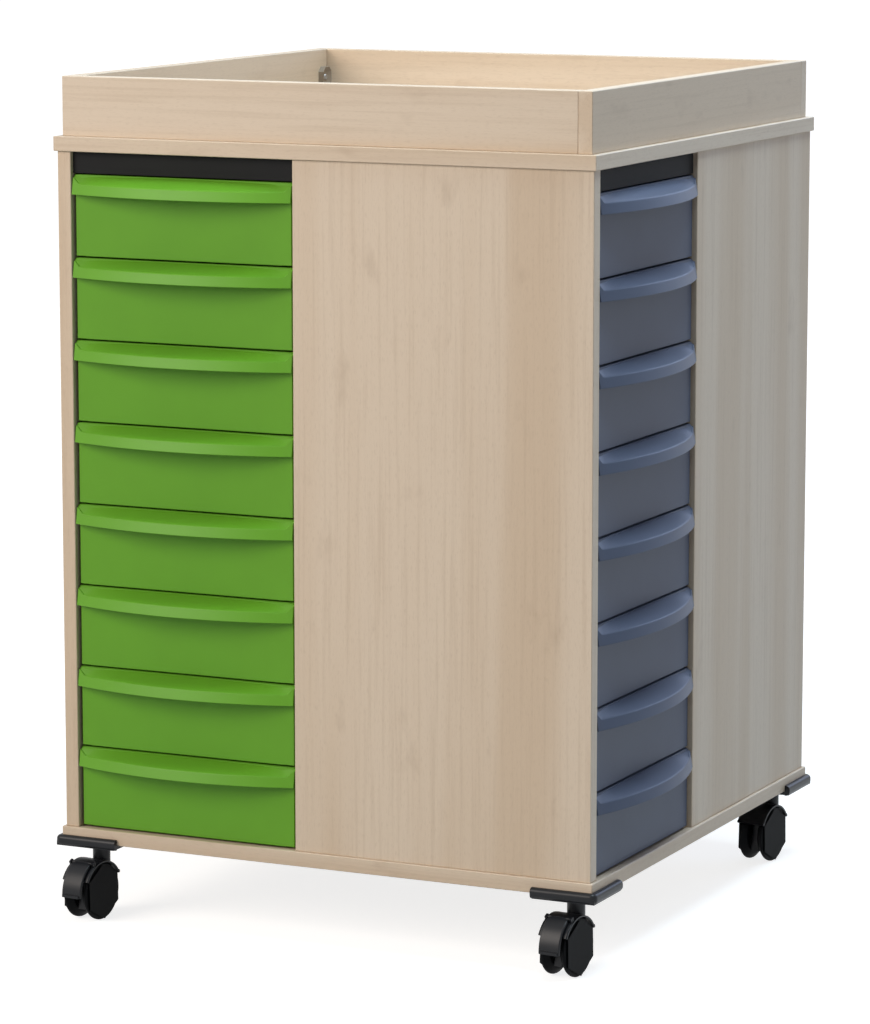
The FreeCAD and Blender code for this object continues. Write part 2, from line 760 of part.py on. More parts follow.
def wheel(label):
    """One wheel of a twin castor, on the +X side of the middle of its axle."""
    body = new_body(label)
    bore = size.axle_radius + size.running_gap
    bore_end = axle_half + size.end_gap
    shoulder = (wheel_inside + size.shoulder_width, size.wheel_radius)
    points = [
        (wheel_inside, bore),
        (bore_end, bore),
        (bore_end, 0),
        (wheel_outside, 0),
        (wheel_outside, size.wheel_radius),
        shoulder,
        (wheel_inside, size.wheel_radius - size.shoulder_drop),
    ]
    profile = outline(body, "wheel_profile", "XZ_Plane", points)
    revolved(body, "wheel_turn", "PartDesign::Revolution", profile, "H_Axis")
    corners = []
    cap_step = HALF_TURN * 2 / CAP_SIDES
    for number in range(CAP_SIDES):
        corners.append(around_axle(size.wheel_radius - size.cap_inset, size.cap_turn + number * cap_step))
    face = outline(body, "cap_face", "YZ_Plane", corners, wheel_outside)
    pad(body, "hub_cap", face, size.cap_height, taper=-size.cap_taper)
    return body


def wheels():
    """Two wheels for each castor; the left one is the right one turned round."""
    found = []
    for corner in CORNERS:
        x, y = castor_centre(corner)
        for side, angle in (("left", -size.castor_turn + HALF_TURN), ("right", -size.castor_turn)):
            label = f"castor_{corner}_{side}_wheel"
            body = copy_of(found[0], label) if found else wheel(label)
            found.append(place(body, x, y, size.wheel_radius, angle))
    return found


def brake_lever(label):
    """A pressed lever over the front of the hood, from the middle of the castor's axle."""
    body = new_body(label)
    inner = hood_outer + size.lever_gap
    outer = inner + size.lever_wall
    half = size.lug_inside - size.lever_side_gap
    plate = sector(body, "lever_side", inner, outer, size.pivot_angle + size.lever_start, size.lever_low)
    pad(body, "lever", plate, half * 2, True)

    def outer_edge(centre, way):
        return way.Length > outer.value

    dress(body, "lever_edges", "PartDesign::Chamfer", "Size", size.lever_edge, outer_edge)
    toe_low = size.lever_low - size.toe_arc
    toe_root = outer - size.lever_wall / 2
    toe = sector(body, "toe_side", toe_root, outer + size.toe_out, toe_low, size.lever_low)
    pad(body, "toe", toe, (half - size.toe_inset) * 2, True)
    barrel = circles(body, "barrel_side", "YZ_Plane", [brake_pivot()], size.barrel_radius)
    pad(body, "barrel", barrel, (size.lug_inside + size.lug_wall) * 2, True)
    return body


def brake_levers():
    found = []
    for corner in BRAKED_CORNERS:
        label = f"castor_{corner}_brake_lever"
        body = copy_of(found[0], label) if found else brake_lever(label)
        x, y = castor_centre(corner)
        found.append(place(body, x, y, size.wheel_radius, -size.castor_turn))
    return found


# ---------------------------------------------------------------- the whole unit


def build():
    nodes = [flat_board("base_board", base_bottom), flat_board("top_board", carcass_top)]
    nodes += [side_panel(face, quarter) for quarter, face in enumerate(FACES)]
    nodes += [inner_partitions(), fascia_strips()]
    nodes += [gallery_pair("gallery_ends", (0, 2)), gallery_pair("gallery_sides", (1, 3))]
    nodes += [gallery_connectors(), tray_runners()]
    nodes += trays()
    nodes += [corner_plates()] + castor_housings() + wheels() + brake_levers()
    document.recompute()
    return nodes


def check(nodes):
    for item in document.Objects:
        if "Invalid" in item.State or "Error" in item.State:
            raise RuntimeError(f"{item.Label} failed: {item.State}")
    for node in nodes:
        if node.Shape.isNull() or not node.Shape.isValid() or not node.Shape.Solids:
            raise RuntimeError(f"{node.Label} has no valid solid")


nodes = build()
check(nodes)
os.makedirs("parts", exist_ok=True)
for node in nodes:
    node.Shape.exportStep(f"parts/{node.Label}.step")
    print(f"{node.Label}: {len(node.Shape.Solids)} solids, {node.Shape.Volume / 1000:.1f} cm3")
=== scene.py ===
"""Looks of a mobile classroom tray storage unit: boards, gallery, trays, corner plates and castors."""

import logging
import math
from collections.abc import Callable, Iterable
from dataclasses import dataclass
from enum import Enum

import bmesh
import bpy
from bmesh.types import BMEdge, BMesh, BMFace, BMVert
from mathutils import Matrix, Vector


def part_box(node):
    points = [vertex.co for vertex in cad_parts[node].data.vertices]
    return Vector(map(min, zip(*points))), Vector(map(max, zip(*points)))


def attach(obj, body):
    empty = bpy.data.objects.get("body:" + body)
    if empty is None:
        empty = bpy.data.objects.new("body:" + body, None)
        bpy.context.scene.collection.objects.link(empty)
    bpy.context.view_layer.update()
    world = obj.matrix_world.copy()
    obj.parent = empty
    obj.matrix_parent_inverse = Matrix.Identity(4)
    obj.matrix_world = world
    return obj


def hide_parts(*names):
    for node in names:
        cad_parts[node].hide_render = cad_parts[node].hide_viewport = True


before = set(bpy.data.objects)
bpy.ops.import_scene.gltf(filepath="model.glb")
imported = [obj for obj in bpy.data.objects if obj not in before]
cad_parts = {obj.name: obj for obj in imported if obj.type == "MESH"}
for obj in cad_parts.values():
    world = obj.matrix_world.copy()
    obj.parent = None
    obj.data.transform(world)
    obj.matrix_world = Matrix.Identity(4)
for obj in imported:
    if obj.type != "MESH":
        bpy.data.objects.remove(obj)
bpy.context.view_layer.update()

LOG = logging.getLogger("tray_unit")
MM = 0.001
QUARTER = math.pi / 2
# Millimetres within which an edge counts as lying on a face or level, and within which points are one.
NEAR = 0.01
WELD = 1e-4
CARCASS = "carcass"
TRAYS_PER_COLUMN = 8


class Side(Enum):
    """A side of the unit, by the quarter turns that bring the front there."""

    FRONT = 0
    RIGHT = 1
    BACK = 2
    LEFT = 3

    @property
    def turn(self) -> Matrix:
        """The rotation from the front to this side."""
        return Matrix.Rotation(self.value * QUARTER, 4, "Z")

    @property
    def word(self) -> str:
        """The side as it stands in node names."""
        return self.name.lower()


class Corner(Enum):
    """A corner of the unit, by the quarter turns that bring the back right corner there."""

    FRONT_LEFT = 2
    FRONT_RIGHT = 3
    BACK_LEFT = 1
    BACK_RIGHT = 0

    @property
    def word(self) -> str:
        """The corner as it stands in node names."""
        return self.name.lower()

    @property
    def braked(self) -> bool:
        """Only the front castors carry a brake lever."""
        return self in (Corner.FRONT_LEFT, Corner.FRONT_RIGHT)

    @property
    def turn(self) -> Matrix:
        """The rotation from the back right corner to this one."""
        return Matrix.Rotation(self.value * QUARTER, 4, "Z")


class Grain(Enum):
    """The way the printed grain runs, as the turn that brings it upright."""

    UPRIGHT = (0.0, 0.0, 0.0)
    ALONG_X = (0.0, -QUARTER, 0.0)
    ALONG_Y = (QUARTER, 0.0, 0.0)


# ---------------------------------------------------------------- nodes and colours


def linear(code: str) -> tuple[float, float, float, float]:
    """Turn an sRGB hex value to linear light.

    Args:
        code: Six hex digits after a hash sign.

    Returns:
        Red, green, blue and full opacity.
    """
    parts = [int(code[place:place + 2], 16) / 255 for place in (1, 3, 5)]
    light = [part / 12.92 if part <= 0.04045 else ((part + 0.055) / 1.055) ** 2.4 for part in parts]
    return (light[0], light[1], light[2], 1.0)


def per_mm(*lengths: float) -> Vector:
    """Mapping scales that make one unit of a pattern as long as each of these millimetres."""
    return Vector(1 / (length * MM) for length in lengths)


def add_node(tree: bpy.types.NodeTree, kind: str, inputs: dict | None = None, **settings) -> bpy.types.Node:
    """Add one node with its settings, values and links.

    Args:
        tree: The node tree that gets it.
        kind: Blender's name of the node.
        inputs: Socket name or number to a value, or to the socket that it is linked from.
        **settings: Properties of the node.

    Returns:
        The new node.
    """
    made = tree.nodes.new(kind)
    for name, value in settings.items():
        setattr(made, name, value)
    for name, value in (inputs or {}).items():
        if isinstance(value, bpy.types.NodeSocket):
            tree.links.new(value, made.inputs[name])
        else:
            made.inputs[name].default_value = value
    return made


def new_material(name: str) -> tuple[bpy.types.Material, bpy.types.NodeTree]:
    """Start a node material.

    Args:
        name: The material's name.

    Returns:
        The material and its empty tree.
    """
    material = bpy.data.materials.new(name)
    material.use_nodes = True
    material.node_tree.nodes.clear()
    return material, material.node_tree


# ---------------------------------------------------------------- finishes


@dataclass(frozen=True)
class PrintTone:
    """One tone of a printed grain, which covers the tones below where its soft noise is strong."""

    colour: str
    across_mm: float
    along_mm: float
    detail: float
    roughness: float
    low: float
    high: float
    cover: float

    def laid_over(
        self,
        tree: bpy.types.NodeTree,
        where: bpy.types.NodeSocket,
        below: bpy.types.NodeSocket | tuple[float, float, float, float],
    ) -> bpy.types.NodeSocket:
        """Lay this tone over the print so far.

        Args:
            tree: The material's tree.
            where: Where each point lies in the print, its grain upright.
            below: The colour so far.

        Returns:
            The colour with this tone in it.
        """
        stretched = add_node(
            tree,
            "ShaderNodeMapping",
            {"Vector": where, "Scale": per_mm(self.across_mm, self.across_mm, self.along_mm)},
        ).outputs[0]
        noise = add_node(
            tree,
            "ShaderNodeTexNoise",
            {"Vector": stretched, "Scale": 1.0, "Detail": self.detail, "Roughness": self.roughness},
        ).outputs[0]
        amount = add_node(
            tree,
            "ShaderNodeMapRange",
            {"Value": noise, "From Min": self.low, "From Max": self.high, "To Max": self.cover},
            interpolation_type="SMOOTHSTEP",
        ).outputs[0]
        return add_node(
            tree, "ShaderNodeMix", {"Factor": amount, 6: below, 7: linear(self.colour)}, data_type="RGBA"
        ).outputs[2]


# The maple print's tones from the lowest up: broad warm staves, grain lines, short rays, sparse brown marks.
MAPLE_TONES = (
    PrintTone(
        "#CBB59C", across_mm=80.0, along_mm=2600.0, detail=1.5, roughness=0.55, low=0.4, high=0.62, cover=0.85
    ),
    PrintTone(
        "#B79F86", across_mm=6.0, along_mm=260.0, detail=4.0, roughness=0.6, low=0.46, high=0.74, cover=0.3
    ),
    PrintTone(
        "#A58D76", across_mm=1.6, along_mm=9.0, detail=2.0, roughness=0.5, low=0.5, high=0.75, cover=0.16
    ),
    PrintTone(
        "#A58D76", across_mm=42.0, along_mm=90.0, detail=3.0, roughness=0.55, low=0.6, high=0.8, cover=0.3
    ),
)


@dataclass(frozen=True)
class MapleDecor:
    """Maple-pattern melamine board: a printed paper under clear resin, flat to the touch and satin."""

    grain: Grain
    shift_mm: float
    edge_turns: bool = False
    edge_facing: float = 0.7
    paper: str = "#D6C4AF"
    tones: tuple[PrintTone, ...] = MAPLE_TONES
    # Real pores are finer than a render shows, so they are drawn coarser.
    pore_mm: float = 0.9
    pore_run_mm: float = 12.6
    pore_depth_mm: float = 0.2
    pore_relief: float = 0.06
    glossiest: float = 0.36
    dullest: float = 0.5
    ior: float = 1.5
    shine: float = 0.35

    @property
    def name(self) -> str:
        """A name of its own for every direction and part of the print."""
        return f"maple_decor_{self.grain.name.lower()}_{self.shift_mm:.0f}"

    def place(self, tree: bpy.types.NodeTree) -> bpy.types.NodeSocket:
        """Bring the grain upright in the pattern's own space.

        Args:
            tree: The material's tree.

        Returns:
            Where each point lies in the print. With edge_turns, the edge strips that face along X have
            their grain along Y.
        """
        where = add_node(tree, "ShaderNodeTexCoord").outputs["Object"]
        shift = Vector((self.shift_mm, self.shift_mm, self.shift_mm)) * MM
        along = add_node(
            tree, "ShaderNodeMapping", {"Vector": where, "Rotation": self.grain.value, "Location": shift}
        ).outputs[0]
        if not self.edge_turns:
            return along
        facing = add_node(tree, "ShaderNodeNewGeometry").outputs["Normal"]
        sideways = add_node(tree, "ShaderNodeSeparateXYZ", {0: facing}).outputs["X"]
        amount = add_node(tree, "ShaderNodeMath", {0: sideways}, operation="ABSOLUTE").outputs[0]
        on_edge = add_node(
            tree, "ShaderNodeMath", {0: amount, 1: self.edge_facing}, operation="GREATER_THAN"
        ).outputs[0]
        across = add_node(
            tree, "ShaderNodeMapping", {"Vector": where, "Rotation": Grain.ALONG_Y.value, "Location": shift}
        ).outputs[0]
        return add_node(
            tree, "ShaderNodeMix", {"Factor": on_edge, 4: along, 5: across}, data_type="VECTOR"
        ).outputs[1]

    def build(self) -> bpy.types.Material:
        """Make the material.

        Returns:
            A soft maple print, whose fine pores break up its satin gloss.
        """
        material, tree = new_material(self.name)
        where = self.place(tree)
        colour = linear(self.paper)
        for tone in self.tones:
            colour = tone.laid_over(tree, where, colour)
        stretched = add_node(
            tree,
            "ShaderNodeMapping",
            {"Vector": where, "Scale": per_mm(self.pore_mm, self.pore_mm, self.pore_run_mm)},
        ).outputs[0]
        pores = add_node(
            tree,
            "ShaderNodeTexNoise",
            {"Vector": stretched, "Scale": 1.0, "Detail": 2.0, "Roughness": 0.6},
        ).outputs[0]
        rough = add_node(
            tree, "ShaderNodeMapRange", {"Value": pores, "To Min": self.glossiest, "To Max": self.dullest}
        ).outputs[0]
        relief = add_node(
            tree,
            "ShaderNodeBump",
            {"Height": pores, "Strength": self.pore_relief, "Distance": self.pore_depth_mm * MM},
        ).outputs[0]
        shader = add_node(
            tree,
            "ShaderNodeBsdfPrincipled",
            {
                "Base Color": colour,
                "Roughness": rough,
                "Normal": relief,
                "IOR": self.ior,
                "Specular IOR Level": self.shine,
            },
        ).outputs[0]
        add_node(tree, "ShaderNodeOutputMaterial", {0: shader})
        return material


@dataclass(frozen=True)
class MouldedPlastic:
    """Injection-moulded plastic: one colour right through, with a faint spark-eroded grain."""

    name: str
    colour: str
    worn: str
    roughness: float
    ior: float = 1.49
    shine: float = 0.4
    cloud_mm: float = 60.0
    cloud_low: float = 0.35
    cloud_high: float = 0.7
    worn_share: float = 0.5
    # The mould's real grain is finer than a render shows, so the grit is drawn coarser.
    grit_mm: float = 0.8
    grit_height_mm: float = 0.02
    grit_relief: float = 0.25
    glossier: float = 0.05
    duller: float = 0.07

    def build(self) -> bpy.types.Material:
        """Make the material.

        Returns:
            A plastic whose colour drifts a little and whose grit breaks up its gloss.
        """
        material, tree = new_material(self.name)
        where = add_node(tree, "ShaderNodeTexCoord").outputs["Object"]
        clouds = add_node(
            tree, "ShaderNodeTexNoise", {"Vector": where, "Scale": 1 / (self.cloud_mm * MM), "Detail": 2.0}
        ).outputs[0]
        amount = add_node(
            tree,
            "ShaderNodeMapRange",
            {
                "Value": clouds,
                "From Min": self.cloud_low,
                "From Max": self.cloud_high,
                "To Max": self.worn_share,
            },
        ).outputs[0]
        colour = add_node(
            tree,
            "ShaderNodeMix",
            {"Factor": amount, 6: linear(self.colour), 7: linear(self.worn)},
            data_type="RGBA",
        ).outputs[2]
        grit = add_node(
            tree, "ShaderNodeTexNoise", {"Vector": where, "Scale": 1 / (self.grit_mm * MM), "Detail": 2.0}
        ).outputs[0]
        rough = add_node(
            tree,
            "ShaderNodeMapRange",
            {"Value": grit, "To Min": self.roughness - self.glossier, "To Max": self.roughness + self.duller},
        ).outputs[0]
        relief = add_node(
            tree,
            "ShaderNodeBump",
            {"Height": grit, "Strength": self.grit_relief, "Distance": self.grit_height_mm * MM},
        ).outputs[0]
        shader = add_node(
            tree,
            "ShaderNodeBsdfPrincipled",
            {
                "Base Color": colour,
                "Roughness": rough,
                "Normal": relief,
                "IOR": self.ior,
                "Specular IOR Level": self.shine,
            },
        ).outputs[0]
        add_node(tree, "ShaderNodeOutputMaterial", {0: shader})
        return material


@dataclass(frozen=True)
class PlatedSteel:
    """Bright zinc-plated steel: a cool grey metal with a cloudy gloss."""

    name: str
    colour: str = "#B9BBBD"
    cloud_mm: float = 3.0
    glossiest: float = 0.24
    dullest: float = 0.46

    def build(self) -> bpy.types.Material:
        """Make the material.

        Returns:
            A metal whose gloss changes in small clouds.
        """
        material, tree = new_material(self.name)
        where = add_node(tree, "ShaderNodeTexCoord").outputs["Object"]
        clouds = add_node(
            tree, "ShaderNodeTexNoise", {"Vector": where, "Scale": 1 / (self.cloud_mm * MM), "Detail": 3.0}
        ).outputs[0]
        rough = add_node(
            tree, "ShaderNodeMapRange", {"Value": clouds, "To Min": self.glossiest, "To Max": self.dullest}
        ).outputs[0]
        shader = add_node(
            tree,
            "ShaderNodeBsdfPrincipled",
            {"Base Color": linear(self.colour), "Metallic": 1.0, "Roughness": rough},
        ).outputs[0]
        add_node(tree, "ShaderNodeOutputMaterial", {0: shader})
        return material


# Polypropylene, moulded: waxy and satin, the same colour through the whole wall.
GREEN_POLYPROPYLENE = MouldedPlastic("green_polypropylene", "#629D26", "#5E9724", 0.42, shine=0.25)
GREY_POLYPROPYLENE = MouldedPlastic("blue_grey_polypropylene", "#555C6E", "#51586A", 0.4, shine=0.12)
# Nearly black and matt, without shine: the strip above each column's top tray, which makes that band evenly
# dark.
BLACK_STRIP = MouldedPlastic("matt_black_strip", "#222223", "#252526", 0.62, shine=0.08)
# Glass-filled nylon, moulded: near black and a little glossy on its crowns.
BLACK_NYLON = MouldedPlastic("black_nylon", "#131418", "#17181C", 0.36, ior=1.53, shine=0.22, cloud_mm=25.0)
# Polyurethane tread: blacker and duller than the nylon round it.
BLACK_TREAD = MouldedPlastic("black_tread", "#08090B", "#0C0D0F", 0.5, shine=0.06, cloud_mm=18.0)
# ABS runner: off-white and plain.
RUNNER_PLASTIC = MouldedPlastic("runner_abs", "#C9C6BD", "#C2BFB6", 0.45, ior=1.54)
# Connector moulding: grey-brown, to disappear against the board.
CONNECTOR_PLASTIC = MouldedPlastic("connector_nylon", "#8E8070", "#887A6A", 0.5, ior=1.53)
# Zinc plating on small screws: the only bright metal that shows.
ZINC = PlatedSteel("zinc_plated_steel")

Finish = MapleDecor | MouldedPlastic | PlatedSteel
MADE: dict[Finish, bpy.types.Material] = {}


def material_of(finish: Finish) -> bpy.types.Material:
    """The material of a finish, made once.

    Args:
        finish: What covers a piece.

    Returns:
        Its one material.
    """
    if finish not in MADE:
        MADE[finish] = finish.build()
    return MADE[finish]


# ---------------------------------------------------------------- mesh tools


def block(bm: BMesh, low: Iterable[float], high: Iterable[float]) -> None:
    """Add a box between two corners.

    Args:
        bm: The mesh that gets it.
        low: Lowest corner, in millimetres.
        high: Highest corner, in millimetres.
    """
    low, high = Vector(low), Vector(high)
    size = Matrix.Diagonal((*(high - low), 1.0))
    bmesh.ops.create_cube(bm, size=1.0, matrix=Matrix.Translation((low + high) / 2) @ size)


def round_bar(bm: BMesh, radius: float, length: float, place: Matrix, sides: int) -> None:
    """Add a closed cylinder round its own Z.

    Args:
        bm: The mesh that gets it.
        radius: Its radius.
        length: Its length.
        place: Where its middle goes.
        sides: How many flats make it round.
    """
    bmesh.ops.create_cone(
        bm, cap_ends=True, segments=sides, radius1=radius, radius2=radius, depth=length, matrix=place
    )


def rounded(bm: BMesh, picked: Iterable[BMEdge | BMVert], width: float, segments: int = 3) -> None:
    """Round edges of a solid, or corners of a flat section.

    Args:
        bm: The mesh.
        picked: The edges, or the section's corners as vertices.
        width: Width of the rounding on each side, in millimetres.
        segments: Flats in each rounding.
    """
    picked = list(picked)
    solid = isinstance(picked[0], BMEdge)
    bmesh.ops.bevel(
        bm,
        geom=picked,
        offset=width,
        offset_type="OFFSET",
        segments=segments,
        profile=0.5,
        affect="EDGES" if solid else "VERTICES",
        clamp_overlap=solid,
        material=-1,
    )


def outline_face(bm: BMesh, points: Iterable[Iterable[float]]) -> BMFace:
    """One flat face from its corners."""
    return bm.faces.new([bm.verts.new(point) for point in points])


def raised(bm: BMesh, face: BMFace, way: Iterable[float]) -> list[BMVert]:
    """Draw a face out into a solid.

    Args:
        bm: The mesh.
        face: The flat face at the near end.
        way: The way and length that it is drawn.

    Returns:
        The corners of the far end.
    """
    far = bmesh.ops.extrude_face_region(bm, geom=[face], use_keep_orig=True)["geom"]
    verts = [item for item in far if isinstance(item, BMVert)]
    bmesh.ops.translate(bm, vec=Vector(way), verts=verts)
    return verts


def edges_where(bm: BMesh, test: Callable[[Vector, Vector], bool]) -> list[BMEdge]:
    """Find the edges that pass a test.

    Args:
        bm: The mesh.
        test: What says yes or no to an edge's middle and direction.

    Returns:
        The edges that it says yes to.
    """
    found = []
    for edge in bm.edges:
        start, end = (vert.co for vert in edge.verts)
        if test((start + end) / 2, (end - start).normalized()):
            found.append(edge)
    return found


def is_upright(way: Vector) -> bool:
    """Whether a direction lies nearer to Z than about 25 degrees."""
    return abs(way.z) > 0.9


def merge_into(bm: BMesh, part: BMesh) -> None:
    """Add a finished part to a mesh, with its faces outward, and free it.

    Args:
        bm: The mesh that gets it.
        part: The part.
    """
    bmesh.ops.recalc_face_normals(part, faces=part.faces)
    spare = bpy.data.meshes.new("part")
    part.to_mesh(spare)
    part.free()
    bm.from_mesh(spare)
    bpy.data.meshes.remove(spare)


def to_mesh(bm: BMesh, name: str, sharp_degrees: float = 35.0) -> bpy.types.Mesh:
    """Turn a mesh in millimetres to a smooth one in metres.

    Args:
        bm: The mesh, which is freed.
        name: The new mesh's name.
        sharp_degrees: Edges that turn more than this stay sharp.

    Returns:
        The mesh data.
    """
    bmesh.ops.scale(bm, vec=(MM, MM, MM), verts=bm.verts)
    data = bpy.data.meshes.new(name)
    bm.to_mesh(data)
    bm.free()
    data.shade_smooth()
    data.set_sharp_from_angle(angle=math.radians(sharp_degrees))
    return data


def add_piece(
    name: str,
    data: bpy.types.Mesh,
    place: Matrix,
    body: str,
    finish: MouldedPlastic | PlatedSteel,
    replaced: tuple[str, ...] = (),
) -> None:
    """Put a copy of a mesh where it belongs, and let it ride there.

    Args:
        name: The piece's name.
        data: Its mesh round its own origin.
        place: Where it goes in the unit.
        body: The body that it rides on.
        finish: What it is made of.
        replaced: The nodes that it stands for.
    """
    mesh = data.copy()
    mesh.transform(place)
    mesh.materials.append(material_of(finish))
    piece = bpy.data.objects.new(name, mesh)
    bpy.context.scene.collection.objects.link(piece)
    soften = piece.modifiers.new("even_shading", "WEIGHTED_NORMAL")
    soften.keep_sharp = True
    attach(piece, body)
    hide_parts(*replaced)
    LOG.info("%s: %d faces on %s", name, len(mesh.polygons), body)


def side_box(node: str, side: Side) -> tuple[Vector, Vector]:
    """A node's corners as seen by someone who faces its side.

    Args:
        node: The node's name.
        side: The side that is faced.

    Returns:
        The lowest and the highest corner, in metres, turned to the front.
    """
    back = side.turn.inverted()
    first, second = (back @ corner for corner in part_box(node))
    return (
        Vector(min(a, b) for a, b in zip(first, second)),
        Vector(max(a, b) for a, b in zip(first, second)),
    )


# ---------------------------------------------------------------- boards


@dataclass(frozen=True)
class BoardPrint:
    """How the maple print lies on one node's boards."""

    node: str
    grain: Grain
    sheet_place: int
    edge_turns: bool = False


@dataclass
class Boards:
    """The flat boards, strips and runners: their solids have the right shape and get their finishes."""

    shift_step_mm: float = 410.0
    prints: tuple[BoardPrint, ...] = (
        BoardPrint("panel_front", Grain.UPRIGHT, 1),
        BoardPrint("panel_right", Grain.UPRIGHT, 2),
        BoardPrint("panel_back", Grain.UPRIGHT, 3),
        BoardPrint("panel_left", Grain.UPRIGHT, 4),
        BoardPrint("inner_partitions", Grain.UPRIGHT, 5),
        BoardPrint("top_board", Grain.ALONG_X, 7, edge_turns=True),
        BoardPrint("base_board", Grain.ALONG_X, 8, edge_turns=True),
        BoardPrint("gallery_ends", Grain.ALONG_X, 9),
        BoardPrint("gallery_sides", Grain.ALONG_Y, 10),
    )

    def dress(self) -> None:
        """Give every board its print, each from another part of the sheet."""
        for board in self.prints:
            shift = self.shift_step_mm * board.sheet_place
            self.cover(board.node, MapleDecor(board.grain, shift, board.edge_turns))
        self.cover("fascia_strips", BLACK_STRIP)
        self.cover("tray_runners", RUNNER_PLASTIC)

    def cover(self, node: str, finish: MapleDecor | MouldedPlastic) -> None:
        """Give one node its finish.

        Args:
            node: The node's name.
            finish: What covers it.
        """
        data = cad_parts[node].data
        data.materials.clear()
        data.materials.append(material_of(finish))
        LOG.info("%s: %s", node, finish.name)


@dataclass
class PanScrew:
    """A pan-head screw with a star socket, seen from above its seat."""

    radius: float
    height: float
    sides: int = 24
    dome_share: float = 0.7
    rim_share: float = 0.12
    socket_waist: float = 0.45
    socket_share: float = 0.5

    def mesh(self) -> bpy.types.Mesh:
        """Make the head.

        Returns:
            A domed head with an eight-pointed socket sunk in its top.
        """
        bm = bmesh.new()
        round_bar(bm, self.radius, self.height, Matrix.Translation((0, 0, self.height / 2)), self.sides)
        top = edges_where(bm, lambda middle, way: middle.z > self.height - NEAR)
        rounded(bm, top, self.height * self.dome_share, 4)
        cap = max(bm.faces, key=lambda item: item.calc_center_median().z)
        bmesh.ops.inset_region(bm, faces=[cap], thickness=self.radius * self.rim_share)
        for number, vert in enumerate(cap.verts):
            # Every third corner stays out and makes a point of the star.
            if number % 3:
                vert.co.x *= self.socket_waist
                vert.co.y *= self.socket_waist
        bmesh.ops.translate(bm, vec=(0, 0, -self.height * self.socket_share), verts=cap.verts)
        return to_mesh(bm, "pan_screw")


@dataclass
class GalleryConnector:
    """A moulded block in each inner corner of the gallery, with its screw in a deep recess."""

    width: float = 26.0
    height: float = 28.0
    depth: float = 8.0
    bevel: float = 7.0
    edge_round: float = 0.8
    recess_radius: float = 5.2
    recess_depth: float = 4.0
    head_radius: float = 4.2
    head_height: float = 1.6

    def mesh(self) -> bpy.types.Mesh:
        """Make the block.

        Returns:
            A block seen from its front, with its recess and rounded edges.
        """
        bm = bmesh.new()
        across, up, bevel = self.width, self.height, self.bevel
        corners = [
            (bevel, 0), (across - bevel, 0), (across, bevel), (across, up - bevel),
            (across - bevel, up), (bevel, up), (0, up - bevel), (0, bevel),
        ]
        face = outline_face(bm, [(x, 0, z) for x, z in corners])
        raised(bm, face, (0, self.depth, 0))
        bmesh.ops.recalc_face_normals(bm, faces=bm.faces)
        front = min(bm.faces, key=lambda item: item.normal.y)
        bmesh.ops.inset_region(bm, faces=[front], thickness=across / 2 - self.recess_radius)
        bmesh.ops.translate(bm, vec=(0, self.recess_depth, 0), verts=front.verts)
        rounded(bm, edges_where(bm, lambda middle, way: middle.y < NEAR), self.edge_round, 2)
        return to_mesh(bm, "connector_block")

    def build(self) -> None:
        """Put a block and its screw over each of the four solids."""
        low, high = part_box("gallery_connectors")
        block_mesh = self.mesh()
        screw = PanScrew(self.head_radius, self.head_height).mesh()
        corner = Matrix.Translation((-high.x, -high.x, low.z))
        inward = Matrix.Rotation(math.pi, 4, "Z") @ Matrix.Translation((-self.width * MM, -self.depth * MM, 0))
        middle = Vector((self.width / 2, self.recess_depth, self.height / 2)) * MM
        for side in Side:
            place = side.turn @ corner @ inward
            add_piece(
                f"gallery_connector_{side.word}", block_mesh, place, CARCASS, CONNECTOR_PLASTIC,
                ("gallery_connectors",)
            )
            seat = place @ Matrix.Translation(middle) @ Matrix.Rotation(QUARTER, 4, "X")
            add_piece(f"gallery_screw_{side.word}", screw, seat, CARCASS, ZINC)


# ---------------------------------------------------------------- trays


